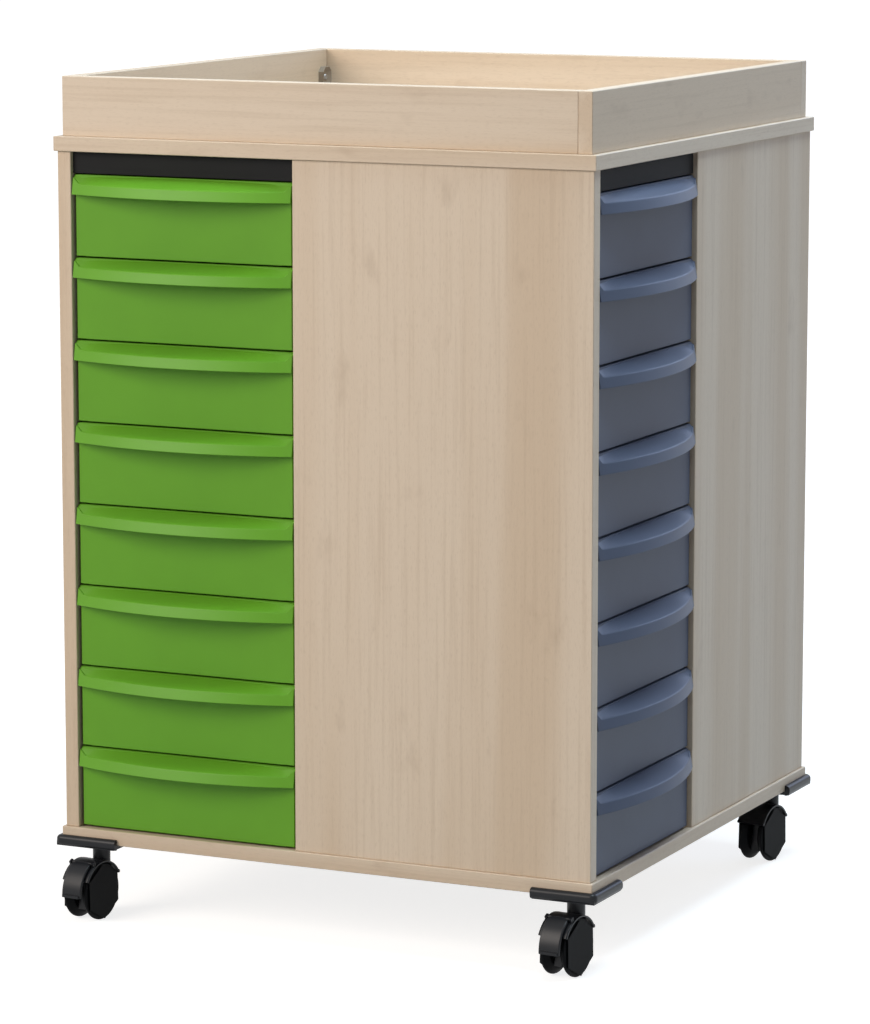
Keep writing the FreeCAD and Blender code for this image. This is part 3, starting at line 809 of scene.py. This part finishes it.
@dataclass
class Tray:
    """A moulded tray: bowed grip lip, front plate, tub with rounded corners and carrying flange."""

    height: float = 105.6
    recess: float = 5.5
    gap_relief: float = 0.9
    plate_width: float = 311.0
    plate_wall: float = 2.8
    plate_short: float = 0.6
    plate_round: float = 1.1
    depth: float = 372.0
    lip_width: float = 315.0
    lip_drop: float = 25.4
    lip_middle_out: float = 28.5
    lip_end_out: float = 1.5
    lip_skin: float = 2.4
    lip_bite: float = 0.3
    lip_steps: int = 48
    lip_spare_degrees: float = 1.0
    crease_drop: float = 11.5
    crease_back: float = 4.0
    crease_round: float = 1.6
    crease_reach: float = 2.0
    nose_round: float = 0.9
    tip_length: float = 13.0
    tip_drop: float = 1.6
    edge_cover: float = 0.2
    end_round: float = 0.9
    tub_width: float = 302.0
    tub_draft: float = 2.5
    tub_wall: float = 2.5
    tub_short: float = 0.4
    tub_corner: float = 14.0
    tub_heel: float = 7.0
    rim_width: float = 314.0
    rim_back: float = 5.0
    rim_wall: float = 2.5
    rim_bite: float = 0.2
    rim_corner: float = 9.0
    rim_overlap: float = 0.3

    @property
    def plate_back(self) -> float:
        """How far the front plate's inner face lies behind the carcass's face."""
        return self.recess + self.plate_wall

    def add_lip(self, bm: BMesh) -> None:
        """Turn the lip's section about the upright axis of its bow, then trim it to the tray.

        Args:
            bm: The mesh that gets it.
        """
        part = bmesh.new()
        half = self.lip_width / 2
        rise = self.lip_middle_out - self.lip_end_out
        axis = (half * half + rise * rise) / (2 * rise) - self.lip_middle_out
        top, low = self.height, self.height - self.lip_drop
        crease = top - self.crease_drop
        ceiling = crease - self.lip_skin
        root = self.plate_back - self.lip_bite
        nose = -self.lip_middle_out
        brow = nose + self.crease_back
        section = [
            (root, top), (brow, crease), (nose, low), (nose + self.lip_skin, low),
            (brow + self.lip_skin, ceiling), (root, ceiling),
        ]
        outline_face(part, [(0, y, z) for y, z in section])
        for place, width in (((brow, crease), self.crease_round), ((nose, low), self.nose_round)):
            corner = min(part.verts, key=lambda vert: (vert.co - Vector((0, *place))).length)
            rounded(part, [corner], width, 5)
        sweep = math.asin(half / (axis - root)) + math.radians(self.lip_spare_degrees)
        centre = (0, axis, 0)
        bmesh.ops.rotate(part, cent=centre, matrix=Matrix.Rotation(-sweep, 3, "Z"), verts=part.verts)
        near = part.faces[:][0]
        bmesh.ops.spin(
            part,
            geom=[near, *near.edges, *near.verts],
            cent=centre,
            axis=(0, 0, 1),
            angle=2 * sweep,
            steps=self.lip_steps,
        )
        # The slope runs back to the straight top edge, and its crease climbs to that edge at both ends.
        for vert in part.verts:
            if vert.co.z > top - NEAR:
                vert.co.y = root + self.edge_cover
            elif vert.co.z > crease - self.crease_reach:
                past = min(1.0, max(0.0, abs(vert.co.x) - half + self.tip_length) / self.tip_length)
                vert.co.z += (top - self.tip_drop - vert.co.z) * past ** 2
        for place, way in (((half, 0, 0), (1, 0, 0)), ((-half, 0, 0), (-1, 0, 0)), ((0, root, 0), (0, 1, 0))):
            cut = bmesh.ops.bisect_plane(
                part,
                geom=[*part.verts, *part.edges, *part.faces],
                dist=WELD,
                plane_co=place,
                plane_no=way,
                clear_outer=True,
            )["geom_cut"]
            bmesh.ops.holes_fill(part, edges=[item for item in cut if isinstance(item, BMEdge)], sides=0)
        bmesh.ops.recalc_face_normals(part, faces=part.faces)
        ends = edges_where(part, lambda middle, way: abs(middle.x) > half - NEAR and middle.y < root - NEAR)
        rounded(part, ends, self.end_round)
        merge_into(bm, part)

    def add_plate(self, bm: BMesh) -> None:
        """Add the flat front below the lip, with its outer edges rounded.

        Args:
            bm: The mesh that gets it.
        """
        part = bmesh.new()
        half = self.plate_width / 2
        top = self.height - self.plate_short
        block(part, (-half, self.recess, self.gap_relief), (half, self.plate_back, top))
        front = edges_where(part, lambda middle, way: middle.y < self.recess + NEAR and middle.z < top - NEAR)
        rounded(part, front, self.plate_round)
        merge_into(bm, part)

    def add_tub(self, bm: BMesh) -> None:
        """Add the tub, drafted to its floor and open above, with rounded corners and heel.

        Args:
            bm: The mesh that gets it.
        """
        part = bmesh.new()
        half = self.tub_width / 2
        start = self.plate_back - self.tub_wall
        end = self.recess + self.depth
        low, top = self.gap_relief, self.height - self.tub_short
        block(part, (-half, start, low), (half, end, top))
        for vert in part.verts:
            if vert.co.z < low + NEAR:
                vert.co.x -= math.copysign(self.tub_draft, vert.co.x)
                vert.co.y -= self.tub_draft if vert.co.y > start + NEAR else 0
        rounded(
            part,
            edges_where(part, lambda middle, way: is_upright(way) and middle.y > start + NEAR),
            self.tub_corner,
            5,
        )
        heel = edges_where(part, lambda middle, way: middle.z < low + NEAR and middle.y > start + NEAR)
        rounded(part, heel, self.tub_heel, 4)
        mouth = max(part.faces, key=lambda item: item.calc_center_median().z)
        bmesh.ops.recalc_face_normals(part, faces=part.faces)
        bmesh.ops.inset_region(part, faces=[mouth], thickness=self.tub_wall, use_even_offset=True)
        sunk = bmesh.ops.extrude_face_region(part, geom=[mouth])["geom"]
        bmesh.ops.delete(part, geom=[mouth], context="FACES")
        floor = [item for item in sunk if isinstance(item, BMVert)]
        bmesh.ops.translate(part, vec=(0, 0, self.tub_wall - top), verts=floor)
        middle = Matrix.Translation((0, -(start + end) / 2, 0))
        shrink = 1 - self.tub_draft / half
        bmesh.ops.scale(part, vec=(shrink, shrink, 1), space=middle, verts=floor)
        merge_into(bm, part)

    def add_flange(self, bm: BMesh) -> None:
        """Add the flat ring that slides on the runners.

        Args:
            bm: The mesh that gets it.
        """
        part = bmesh.new()
        half = self.rim_width / 2
        start = self.plate_back - self.rim_bite
        end = self.recess + self.depth + self.rim_back
        block(part, (-half, start, self.height - self.rim_wall), (half, end, self.height))
        rounded(
            part,
            edges_where(part, lambda middle, way: is_upright(way) and middle.y > start + NEAR),
            self.rim_corner,
            4,
        )
        bmesh.ops.recalc_face_normals(part, faces=part.faces)
        lids = [face for face in part.faces if is_upright(face.normal)]
        land = (self.rim_width - self.tub_width) / 2 + self.tub_wall + self.rim_overlap
        bmesh.ops.inset_individual(part, faces=lids, thickness=land, use_even_offset=True)
        inner = {edge for face in lids for edge in face.edges}
        bmesh.ops.delete(part, geom=lids, context="FACES_ONLY")
        bmesh.ops.bridge_loops(part, edges=list(inner))
        merge_into(bm, part)

    def mesh(self) -> bpy.types.Mesh:
        """Make the whole tray.

        Returns:
            The tray seen from its front, from the middle of its column's face.
        """
        bm = bmesh.new()
        self.add_lip(bm)
        self.add_plate(bm)
        self.add_tub(bm)
        self.add_flange(bm)
        return to_mesh(bm, "moulded_tray")

    def build(self) -> None:
        """Put a tray over each of the four columns' solids: green across, blue-grey between."""
        data = self.mesh()
        for side in Side:
            green = side in (Side.FRONT, Side.BACK)
            finish = GREEN_POLYPROPYLENE if green else GREY_POLYPROPYLENE
            for number in range(1, TRAYS_PER_COLUMN + 1):
                node = f"tray_{side.word}_{number}"
                low, high = side_box(node, side)
                middle = (low.x + high.x) / 2
                seat = Vector((middle, low.y + self.lip_middle_out * MM, high.z - self.height * MM))
                place = side.turn @ Matrix.Translation(seat)
                add_piece(f"{node}_moulding", data, place, node, finish, (node,))


# ---------------------------------------------------------------- corner plates


@dataclass
class CornerPlate:
    """A moulded corner plate under the base board, with a round-edged bumper along both edges."""

    out: float = 7.5
    wall: float = 6.0
    up: float = 8.0
    leg: float = 82.0
    end: float = 25.0
    plate_in: float = 2.0
    plate_round: float = 0.8
    board_gap: float = 0.05
    turn_radius: float = 8.0
    turn_steps: int = 8
    crown: float = 5.4
    end_round: float = 2.6
    screw_radius: float = 4.0
    screw_height: float = 2.2
    screw_spots: tuple[tuple[float, float], ...] = ((-12.0, -62.0), (-62.0, -12.0), (-14.0, -14.0))

    def add_plate(self, bm: BMesh) -> None:
        """Add the flat plate that carries the castor's stem.

        Args:
            bm: The mesh that gets it.
        """
        part = bmesh.new()
        high, low = self.out - self.plate_in, self.plate_in - self.leg
        plan = [(high, high), (low, high), (low, -self.end), (-self.end, low), (high, low)]
        face = outline_face(part, [(x, y, -self.wall) for x, y in plan])
        raised(part, face, (0, 0, self.wall - self.board_gap))
        under = edges_where(part, lambda middle, way: middle.z < -self.wall + NEAR)
        rounded(part, under, self.plate_round, 2)
        merge_into(bm, part)

    def add_bumper(self, bm: BMesh) -> None:
        """Draw the bumper's section along an edge, round the corner and along the other edge.

        Args:
            bm: The mesh that gets it.
        """
        part = bmesh.new()
        section = [
            (self.board_gap, -self.wall), (self.out, -self.wall), (self.out, self.up), (self.board_gap, self.up)
        ]
        outline_face(part, [(-self.leg, y, z) for y, z in section])
        rounded(part, [vert for vert in part.verts if vert.co.y > self.board_gap + NEAR], self.crown, 5)
        near = part.faces[:][0]
        bend = self.out - self.turn_radius
        far = raised(part, near, (self.leg + bend, 0, 0))
        face = next(item for item in part.faces if all(vert in far for vert in item.verts))
        turned = bmesh.ops.spin(
            part,
            geom=[face, *face.edges, *face.verts],
            cent=(bend, bend, 0),
            axis=(0, 0, 1),
            angle=-QUARTER,
            steps=self.turn_steps,
        )["geom_last"]
        last = next(item for item in turned if isinstance(item, BMFace))
        raised(part, last, (0, -self.leg - bend, 0))
        bmesh.ops.remove_doubles(part, verts=part.verts, dist=WELD)
        bmesh.ops.recalc_face_normals(part, faces=part.faces)
        ends = edges_where(
            part,
            lambda middle, way: min(middle.x, middle.y) < -self.leg + NEAR and abs(way.x) < 0.9,
        )
        rounded(part, ends, self.end_round, 4)
        merge_into(bm, part)

    def mesh(self) -> bpy.types.Mesh:
        """Make the plate and bumper.

        Returns:
            Both from the base board's corner at its lower face.
        """
        bm = bmesh.new()
        self.add_plate(bm)
        self.add_bumper(bm)
        return to_mesh(bm, "corner_plate")

    def build(self) -> None:
        """Put a plate and its screws under each corner of the base board."""
        low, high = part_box("base_board")
        data = self.mesh()
        screw = PanScrew(self.screw_radius, self.screw_height).mesh()
        for corner in Corner:
            place = corner.turn @ Matrix.Translation((high.x, high.y, low.z))
            add_piece(
                f"corner_plate_{corner.word}", data, place, CARCASS, BLACK_NYLON,
                ("corner_plates",)
            )
            for number, (across, inward) in enumerate(self.screw_spots, 1):
                spot = Matrix.Translation(Vector((across, inward, -self.wall)) * MM)
                seat = place @ spot @ Matrix.Rotation(math.pi, 4, "X")
                add_piece(
                    f"plate_screw_{corner.word}_{number}", screw, seat, CARCASS, ZINC
                )


# ---------------------------------------------------------------- castors


def around_axle(radius: float, degrees: float, across: float = 0.0) -> Vector:
    """A point round a castor's axle: 0 degrees is its back, 90 its top and 180 its front."""
    angle = math.radians(degrees)
    return Vector((across, radius * math.cos(angle), radius * math.sin(angle)))


@dataclass(frozen=True)
class ArcPlate:
    """A curved plate round a castor's axle, from one angle to another in degrees."""

    inner: float
    outer: float
    half: float
    start: float
    end: float
    crown: float = 0.0
    crown_inside: bool = True
    step: float = 5.0

    def add_to(self, bm: BMesh) -> None:
        """Turn the plate's section about the axle.

        Args:
            bm: The mesh that gets it.
        """
        part = bmesh.new()
        section = [
            (-self.half, self.inner, 0), (self.half, self.inner, 0),
            (self.half, self.outer, 0), (-self.half, self.outer, 0),
        ]
        outline_face(part, section)
        if self.crown:
            level = self.inner - NEAR if self.crown_inside else self.inner + NEAR
            rounded(part, [vert for vert in part.verts if vert.co.y > level], self.crown, 4)
        face = part.faces[:][0]
        start = Matrix.Rotation(math.radians(self.start), 3, "X")
        bmesh.ops.rotate(part, cent=(0, 0, 0), matrix=start, verts=part.verts)
        sweep = self.end - self.start
        bmesh.ops.spin(
            part,
            geom=[face, *face.edges, *face.verts],
            cent=(0, 0, 0),
            axis=(1, 0, 0),
            angle=math.radians(sweep),
            steps=max(3, round(sweep / self.step)),
        )
        outline_face(part, [vert.co.copy() for vert in face.verts])
        bmesh.ops.remove_doubles(part, verts=part.verts, dist=WELD)
        merge_into(bm, part)


@dataclass
class Castor:
    """A twin-wheel castor seen from the middle of its axle: hood, neck, wheels and brake lever."""

    height: float = 104.0
    trail: float = 24.0
    turn_degrees: float = 6.0
    plate_wall: float = 6.0
    wheel_radius: float = 37.5
    wheel_inside: float = 7.0
    wheel_outside: float = 18.0
    wheel_steps: int = 64
    shoulder_width: float = 7.0
    shoulder_drop: float = 8.0
    tread_round: float = 1.6
    dish: float = 2.0
    dish_rim: float = 4.0
    bore_gap: float = 0.1
    cap_radius: float = 36.8
    cap_turn: float = 32.0
    cap_sides: int = 6
    cap_seat: float = 0.3
    cap_height: float = 3.5
    cap_rim: float = 3.1
    # Each further step of the cap: how far in from the last and how far out along the axle.
    cap_steps: tuple[tuple[float, float], ...] = ((2.2, -0.7), (0.6, -0.5))
    cap_round: float = 0.8
    axle_radius: float = 4.0
    axle_half: float = 16.0
    hood_gap: float = 1.2
    hood_wall: float = 2.5
    hood_half: float = 20.5
    hood_low: float = 28.0
    hood_crown: float = 2.2
    bead_out: float = 1.6
    bead_degrees: float = 4.0
    bead_crown: float = 1.2
    neck_radius: float = 11.6
    neck_root: float = 25.0
    neck_gap: float = 0.4
    neck_crown: float = 0.9
    collar_out: float = 1.4
    collar_height: float = 3.2
    collar_gap: float = 0.1
    collar_crown: float = 0.8
    stem_radius: float = 5.5
    stem_bite: float = 1.0
    stem_crown: float = 0.4
    web_half: float = 6.0
    web_boss: float = 22.0
    web_round: float = 1.0
    web_degrees: range = range(32, 116, 7)
    pivot_angle: float = 116.0
    pivot_radius: float = 44.6
    barrel_radius: float = 1.7
    lug_inside: float = 16.0
    lug_wall: float = 3.2
    lug_out: float = 2.0
    lug_degrees: float = 4.0
    lever_gap: float = 0.5
    lever_wall: float = 4.6
    lever_half: float = 15.0
    lever_high: float = 117.0
    lever_low: float = 181.5
    lever_corner: float = 5.0
    lever_crown: float = 1.9
    lever_step: float = 1.5
    toe_half: float = 13.0
    toe_out: float = 2.6
    toe_degrees: float = 4.0
    toe_crown: float = 1.2

    @property
    def hood_inner(self) -> float:
        """Inner radius of the hood."""
        return self.wheel_radius + self.hood_gap

    @property
    def hood_outer(self) -> float:
        """Outer radius of the hood."""
        return self.hood_inner + self.hood_wall

    @property
    def hood_middle(self) -> float:
        """Radius in the middle of the hood's wall, where what grows from the hood starts."""
        return self.hood_outer - self.hood_wall / 2

    def housing_mesh(self, braked: bool) -> bpy.types.Mesh:
        """Make the housing.

        Args:
            braked: Whether it carries the lugs of a brake lever in place of its front bead.

        Returns:
            Hood with its end beads, web, neck, stem and axle.
        """
        bm = bmesh.new()
        low, high, arc = self.hood_low, 180 - self.hood_low, self.bead_degrees
        root, bead, half = self.hood_middle, self.hood_outer + self.bead_out, self.hood_half
        ArcPlate(self.hood_inner, self.hood_outer, half, low, high, self.hood_crown).add_to(bm)
        ArcPlate(root, bead, half, low, low + arc, self.bead_crown).add_to(bm)
        if not braked:
            ArcPlate(root, bead, half, high - arc, high, self.bead_crown).add_to(bm)
        self.add_web(bm)
        self.add_neck(bm)
        if braked:
            for side in (-1, 1):
                self.add_lug(bm, side)
        return to_mesh(bm, "castor_housing")

    def add_web(self, bm: BMesh) -> None:
        """Add the web between the wheels, which holds the axle.

        Args:
            bm: The mesh that gets it.
        """
        part = bmesh.new()
        boss, root = self.web_boss, self.hood_middle
        plan = [(-self.web_half, -boss, -boss), (-self.web_half, boss, -boss)]
        plan += [around_axle(root, degrees, -self.web_half) for degrees in self.web_degrees]
        raised(part, outline_face(part, plan), (self.web_half * 2, 0, 0))
        sides = edges_where(part, lambda middle, way: abs(way.x) < 0.1 and middle.z < root / 2)
        rounded(part, sides, self.web_round, 2)
        merge_into(bm, part)

    def add_neck(self, bm: BMesh) -> None:
        """Add the round neck with a collar, the stem above it and the axle below.

        Args:
            bm: The mesh that gets it.
        """
        top = self.height - self.wheel_radius - self.plate_wall - self.neck_gap
        collar_low, collar_high = top - self.collar_height, top - self.collar_gap
        for radius, start, end, crown in (
            (self.neck_radius, self.neck_root, top, self.neck_crown),
            (self.neck_radius + self.collar_out, collar_low, collar_high, self.collar_crown),
            (self.stem_radius, top - self.stem_bite, top + self.plate_wall, self.stem_crown),
        ):
            part = bmesh.new()
            middle = Matrix.Translation((0, self.trail, (start + end) / 2))
            round_bar(part, radius, end - start, middle, 48)
            rounded(part, edges_where(part, lambda middle, way: abs(way.z) < 0.1), crown)
            merge_into(bm, part)
        axle = bmesh.new()
        round_bar(axle, self.axle_radius, self.axle_half * 2, Matrix.Rotation(QUARTER, 4, "Y"), 24)
        merge_into(bm, axle)

    def add_lug(self, bm: BMesh, side: int) -> None:
        """Add one lug beside the end of the brake lever.

        Args:
            bm: The mesh that gets it.
            side: One for the right lug and minus one for the left.
        """
        part = bmesh.new()
        start, end = self.pivot_angle - self.lug_degrees, self.pivot_angle + self.lug_degrees
        outer = self.pivot_radius + self.lug_out
        ArcPlate(self.hood_middle, outer, self.lug_wall / 2, start, end).add_to(part)
        middle = side * (self.lug_inside + self.lug_wall / 2)
        bmesh.ops.translate(part, vec=(middle, 0, 0), verts=part.verts)
        merge_into(bm, part)

    def wheel_mesh(self) -> bpy.types.Mesh:
        """Make the wheel on the +X side.

        Returns:
            A tread with round shoulders, a dished side and a stepped six-sided cap.
        """
        bm = bmesh.new()
        tyre = bmesh.new()
        inside, outside, radius = self.wheel_inside, self.wheel_outside, self.wheel_radius
        shoulder = inside + self.shoulder_width
        slope = radius - self.shoulder_drop
        bore = self.axle_radius + self.bore_gap
        rim = slope - self.dish_rim
        section = [
            (inside + self.dish, bore, 0), (outside, bore, 0), (outside, radius, 0), (shoulder, radius, 0),
            (inside, slope, 0), (inside, rim, 0), (inside + self.dish, rim - self.dish, 0),
        ]
        outline_face(tyre, section)
        rounded(tyre, [vert for vert in tyre.verts if vert.co.y > slope - NEAR], self.tread_round, 4)
        ring = tyre.faces[:][0]
        bmesh.ops.spin(
            tyre,
            geom=[ring, *ring.edges, *ring.verts],
            cent=(0, 0, 0),
            axis=(1, 0, 0),
            angle=math.tau,
            steps=self.wheel_steps,
            use_merge=True,
        )
        # The section that was spun is left standing inside the tyre.
        leftover = [face for face in tyre.faces if len(face.verts) > 4]
        bmesh.ops.delete(tyre, geom=leftover, context="FACES_ONLY")
        bmesh.ops.remove_doubles(tyre, verts=tyre.verts, dist=WELD)
        merge_into(bm, tyre)
        self.add_cap(bm)
        return to_mesh(bm, "castor_wheel")

    def add_cap(self, bm: BMesh) -> None:
        """Add the six-sided cap on the wheel's outer face, in steps.

        Args:
            bm: The mesh that gets it.
        """
        part = bmesh.new()
        base = self.wheel_outside - self.cap_seat
        angles = [self.cap_turn + 360 / self.cap_sides * number for number in range(self.cap_sides)]
        face = outline_face(part, [around_axle(self.cap_radius, angle, base) for angle in angles])
        bmesh.ops.recalc_face_normals(part, faces=[face])
        for inward, out in ((self.cap_rim, self.cap_height + self.cap_seat), *self.cap_steps):
            bmesh.ops.inset_region(part, faces=[face], thickness=inward, use_even_offset=True)
            bmesh.ops.translate(part, vec=(out, 0, 0), verts=face.verts)
        rounded(part, edges_where(part, lambda middle, way: middle.x > base + 1), self.cap_round)
        merge_into(bm, part)

    def lever_mesh(self) -> bpy.types.Mesh:
        """Make the brake lever.

        Returns:
            A curved plate with round upper corners, a toe lip and the barrel that it turns on.
        """
        bm = bmesh.new()
        inner = self.hood_outer + self.lever_gap
        outer = inner + self.lever_wall
        high, low, corner = self.lever_high, self.lever_low, self.lever_corner
        plate = bmesh.new()
        blade = ArcPlate(inner, outer, self.lever_half, high, low, self.lever_crown, step=self.lever_step)
        blade.add_to(plate)
        # The two upper corners follow a quarter circle.
        for vert in plate.verts:
            angle = math.degrees(math.atan2(vert.co.z, vert.co.y)) % 360
            from_top = math.radians(max(0.0, angle - high)) * outer
            if from_top < corner:
                short = corner - math.sqrt(corner ** 2 - (corner - from_top) ** 2)
                vert.co.x *= 1 - short / self.lever_half
        merge_into(bm, plate)
        root = outer - self.lever_wall / 2
        toe_start, toe_outer = low - self.toe_degrees, outer + self.toe_out
        ArcPlate(root, toe_outer, self.toe_half, toe_start, low, self.toe_crown, crown_inside=False).add_to(bm)
        barrel = bmesh.new()
        pivot = Matrix.Translation(around_axle(self.pivot_radius, self.pivot_angle))
        length = (self.lug_inside + self.lug_wall) * 2
        round_bar(barrel, self.barrel_radius, length, pivot @ Matrix.Rotation(QUARTER, 4, "Y"), 20)
        merge_into(bm, barrel)
        return to_mesh(bm, "brake_lever")

    def build(self) -> None:
        """Put a castor over each corner's solids."""
        housings = {braked: self.housing_mesh(braked) for braked in (True, False)}
        wheel = self.wheel_mesh()
        lever = self.lever_mesh()
        mirrored = Matrix.Rotation(math.pi, 4, "Z")
        turned = Matrix.Rotation(-math.radians(self.turn_degrees), 4, "Z")
        for corner in Corner:
            body = f"castor_{corner.word}"
            ends = [*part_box(f"{body}_left_wheel"), *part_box(f"{body}_right_wheel")]
            place = Matrix.Translation(sum(ends, Vector()) / len(ends)) @ turned
            add_piece(
                f"{body}_hood", housings[corner.braked], place, body, BLACK_NYLON,
                (f"{body}_housing",)
            )
            for side, turn in (("right", Matrix.Identity(4)), ("left", mirrored)):
                node = f"{body}_{side}_wheel"
                add_piece(
                    f"{node}_moulding", wheel, place @ turn, node, BLACK_TREAD, (node,)
                )
            if corner.braked:
                node = f"{body}_brake_lever"
                add_piece(
                    f"{node}_moulding", lever, place, node, BLACK_NYLON, (node,)
                )


# ---------------------------------------------------------------- studio


@dataclass(frozen=True)
class PanelLight:
    """One square soft light: where it hangs and points, its size in metres, its watts and colour."""

    name: str
    place: tuple[float, float, float]
    target: tuple[float, float, float]
    size: float
    power: float
    colour: str

    def hang(self) -> None:
        """Put the light in the scene."""
        data = bpy.data.lights.new(self.name, "AREA")
        data.shape = "SQUARE"
        data.size = self.size
        data.energy = self.power
        data.color = linear(self.colour)[:3]
        lamp = bpy.data.objects.new(self.name, data)
        lamp.location = self.place
        aim = Vector(self.target) - Vector(self.place)
        lamp.rotation_euler = aim.to_track_quat("-Z", "Y").to_euler()
        bpy.context.scene.collection.objects.link(lamp)


# A warm-white panel in front lights the front and left. A cool one high on the right lights what faces up
# and leaves the trays below each lip in shade. A bluish one lights the back.
PANEL_LIGHTS = (
    PanelLight(
        "front_panel_light",
        place=(-2.6, -4.2, 3.0),
        target=(0.0, -0.2, 0.6),
        size=3.0,
        power=213.0,
        colour="#FFF5EB",
    ),
    PanelLight(
        "high_panel_light",
        place=(0.85, -0.2, 4.0),
        target=(0.1, 0.0, 0.6),
        size=1.8,
        power=134.0,
        colour="#DCF2FF",
    ),
    PanelLight(
        "back_panel_light",
        place=(1.6, 4.6, 2.9),
        target=(0.1, 0.0, 0.7),
        size=3.0,
        power=72.0,
        colour="#B8D0FF",
    ),
)


@dataclass
class Studio:
    """The camera, the pale floor and the soft lights."""

    camera_place: tuple[float, float, float] = (2.46697, -5.27952, 1.44266)
    camera_down_degrees: float = 9.071
    camera_turn_degrees: float = 25.18
    camera_reach: float = 100.0
    picture_height_pixels: int = 1024
    focal_pixels: float = 4393.2
    sensor_mm: float = 36.0
    floor_colour: str = "#B4B4B2"
    floor_half: float = 30.0
    # The floor's glow to the eye rises from this share near the unit to full white far from it, in metres.
    glow_near: float = 0.8
    glow_start: float = 1.0
    glow_full: float = 5.0
    sky_colour: str = "#EAF1FF"
    sky_strength: float = 0.18

    def build(self) -> None:
        """Set up everything round the unit."""
        self.add_camera()
        self.add_floor()
        self.add_world()
        for light in PANEL_LIGHTS:
            light.hang()

    def add_camera(self) -> None:
        """Stand the camera where the unit is seen from its front right and a little above."""
        data = bpy.data.cameras.new("camera")
        data.sensor_fit = "VERTICAL"
        data.sensor_height = self.sensor_mm
        data.lens = self.focal_pixels / self.picture_height_pixels * self.sensor_mm
        data.clip_end = self.camera_reach
        camera = bpy.data.objects.new("camera", data)
        camera.location = self.camera_place
        tilt = math.radians(90 - self.camera_down_degrees)
        camera.rotation_euler = (tilt, 0.0, math.radians(self.camera_turn_degrees))
        bpy.context.scene.collection.objects.link(camera)
        bpy.context.scene.camera = camera

    def add_floor(self) -> None:
        """Lay a plain pale floor that shows to the camera as white where no shadow falls."""
        bm = bmesh.new()
        bmesh.ops.create_grid(bm, x_segments=1, y_segments=1, size=self.floor_half)
        data = bpy.data.meshes.new("floor")
        bm.to_mesh(data)
        bm.free()
        material, tree = new_material("pale_floor")
        matt = add_node(tree, "ShaderNodeBsdfDiffuse", {"Color": linear(self.floor_colour)}).outputs[0]
        where = add_node(tree, "ShaderNodeTexCoord").outputs["Object"]
        away = add_node(tree, "ShaderNodeVectorMath", {0: where}, operation="LENGTH").outputs["Value"]
        level = add_node(
            tree,
            "ShaderNodeMapRange",
            {
                "Value": away,
                "From Min": self.glow_start,
                "From Max": self.glow_full,
                "To Min": self.glow_near,
                "To Max": 1.0,
            },
        ).outputs[0]
        glow = add_node(tree, "ShaderNodeEmission", {"Strength": level}).outputs[0]
        lit = add_node(tree, "ShaderNodeAddShader", {0: matt, 1: glow}).outputs[0]
        seen = self.seen_directly(tree)
        shader = add_node(tree, "ShaderNodeMixShader", {0: seen, 1: matt, 2: lit}).outputs[0]
        add_node(tree, "ShaderNodeOutputMaterial", {0: shader})
        data.materials.append(material)
        floor = bpy.data.objects.new("floor", data)
        bpy.context.scene.collection.objects.link(floor)

    def seen_directly(self, tree: bpy.types.NodeTree) -> bpy.types.NodeSocket:
        """Tell whether a ray comes from the camera, a mirror or glass.

        Args:
            tree: The node tree that asks.

        Returns:
            One for such a ray and nothing for any other.
        """
        rays = add_node(tree, "ShaderNodeLightPath").outputs
        some = add_node(
            tree, "ShaderNodeMath", {0: rays["Is Camera Ray"], 1: rays["Is Glossy Ray"]}, operation="MAXIMUM"
        ).outputs[0]
        return add_node(
            tree, "ShaderNodeMath", {0: some, 1: rays["Is Transmission Ray"]}, operation="MAXIMUM"
        ).outputs[0]

    def add_world(self) -> None:
        """Surround the unit with white to the eye, which lights it more softly and coolly."""
        world = bpy.data.worlds.new("studio")
        bpy.context.scene.world = world
        world.use_nodes = True
        tree = world.node_tree
        tree.nodes.clear()
        soft = add_node(
            tree, "ShaderNodeBackground", {"Color": linear(self.sky_colour), "Strength": self.sky_strength}
        ).outputs[0]
        white = add_node(tree, "ShaderNodeBackground", {"Color": linear("#FFFFFF"), "Strength": 1.0}).outputs[0]
        seen = self.seen_directly(tree)
        shader = add_node(tree, "ShaderNodeMixShader", {0: seen, 1: soft, 2: white}).outputs[0]
        add_node(tree, "ShaderNodeOutputWorld", {0: shader})


def main() -> None:
    """Build every part of the unit, then the studio round it."""
    logging.basicConfig(level=logging.INFO, format="%(message)s")
    Boards().dress()
    GalleryConnector().build()
    Tray().build()
    CornerPlate().build()
    Castor().build()
    Studio().build()
    bpy.context.scene.view_settings.view_transform = "Standard"


if __name__ == "__main__":
    main()
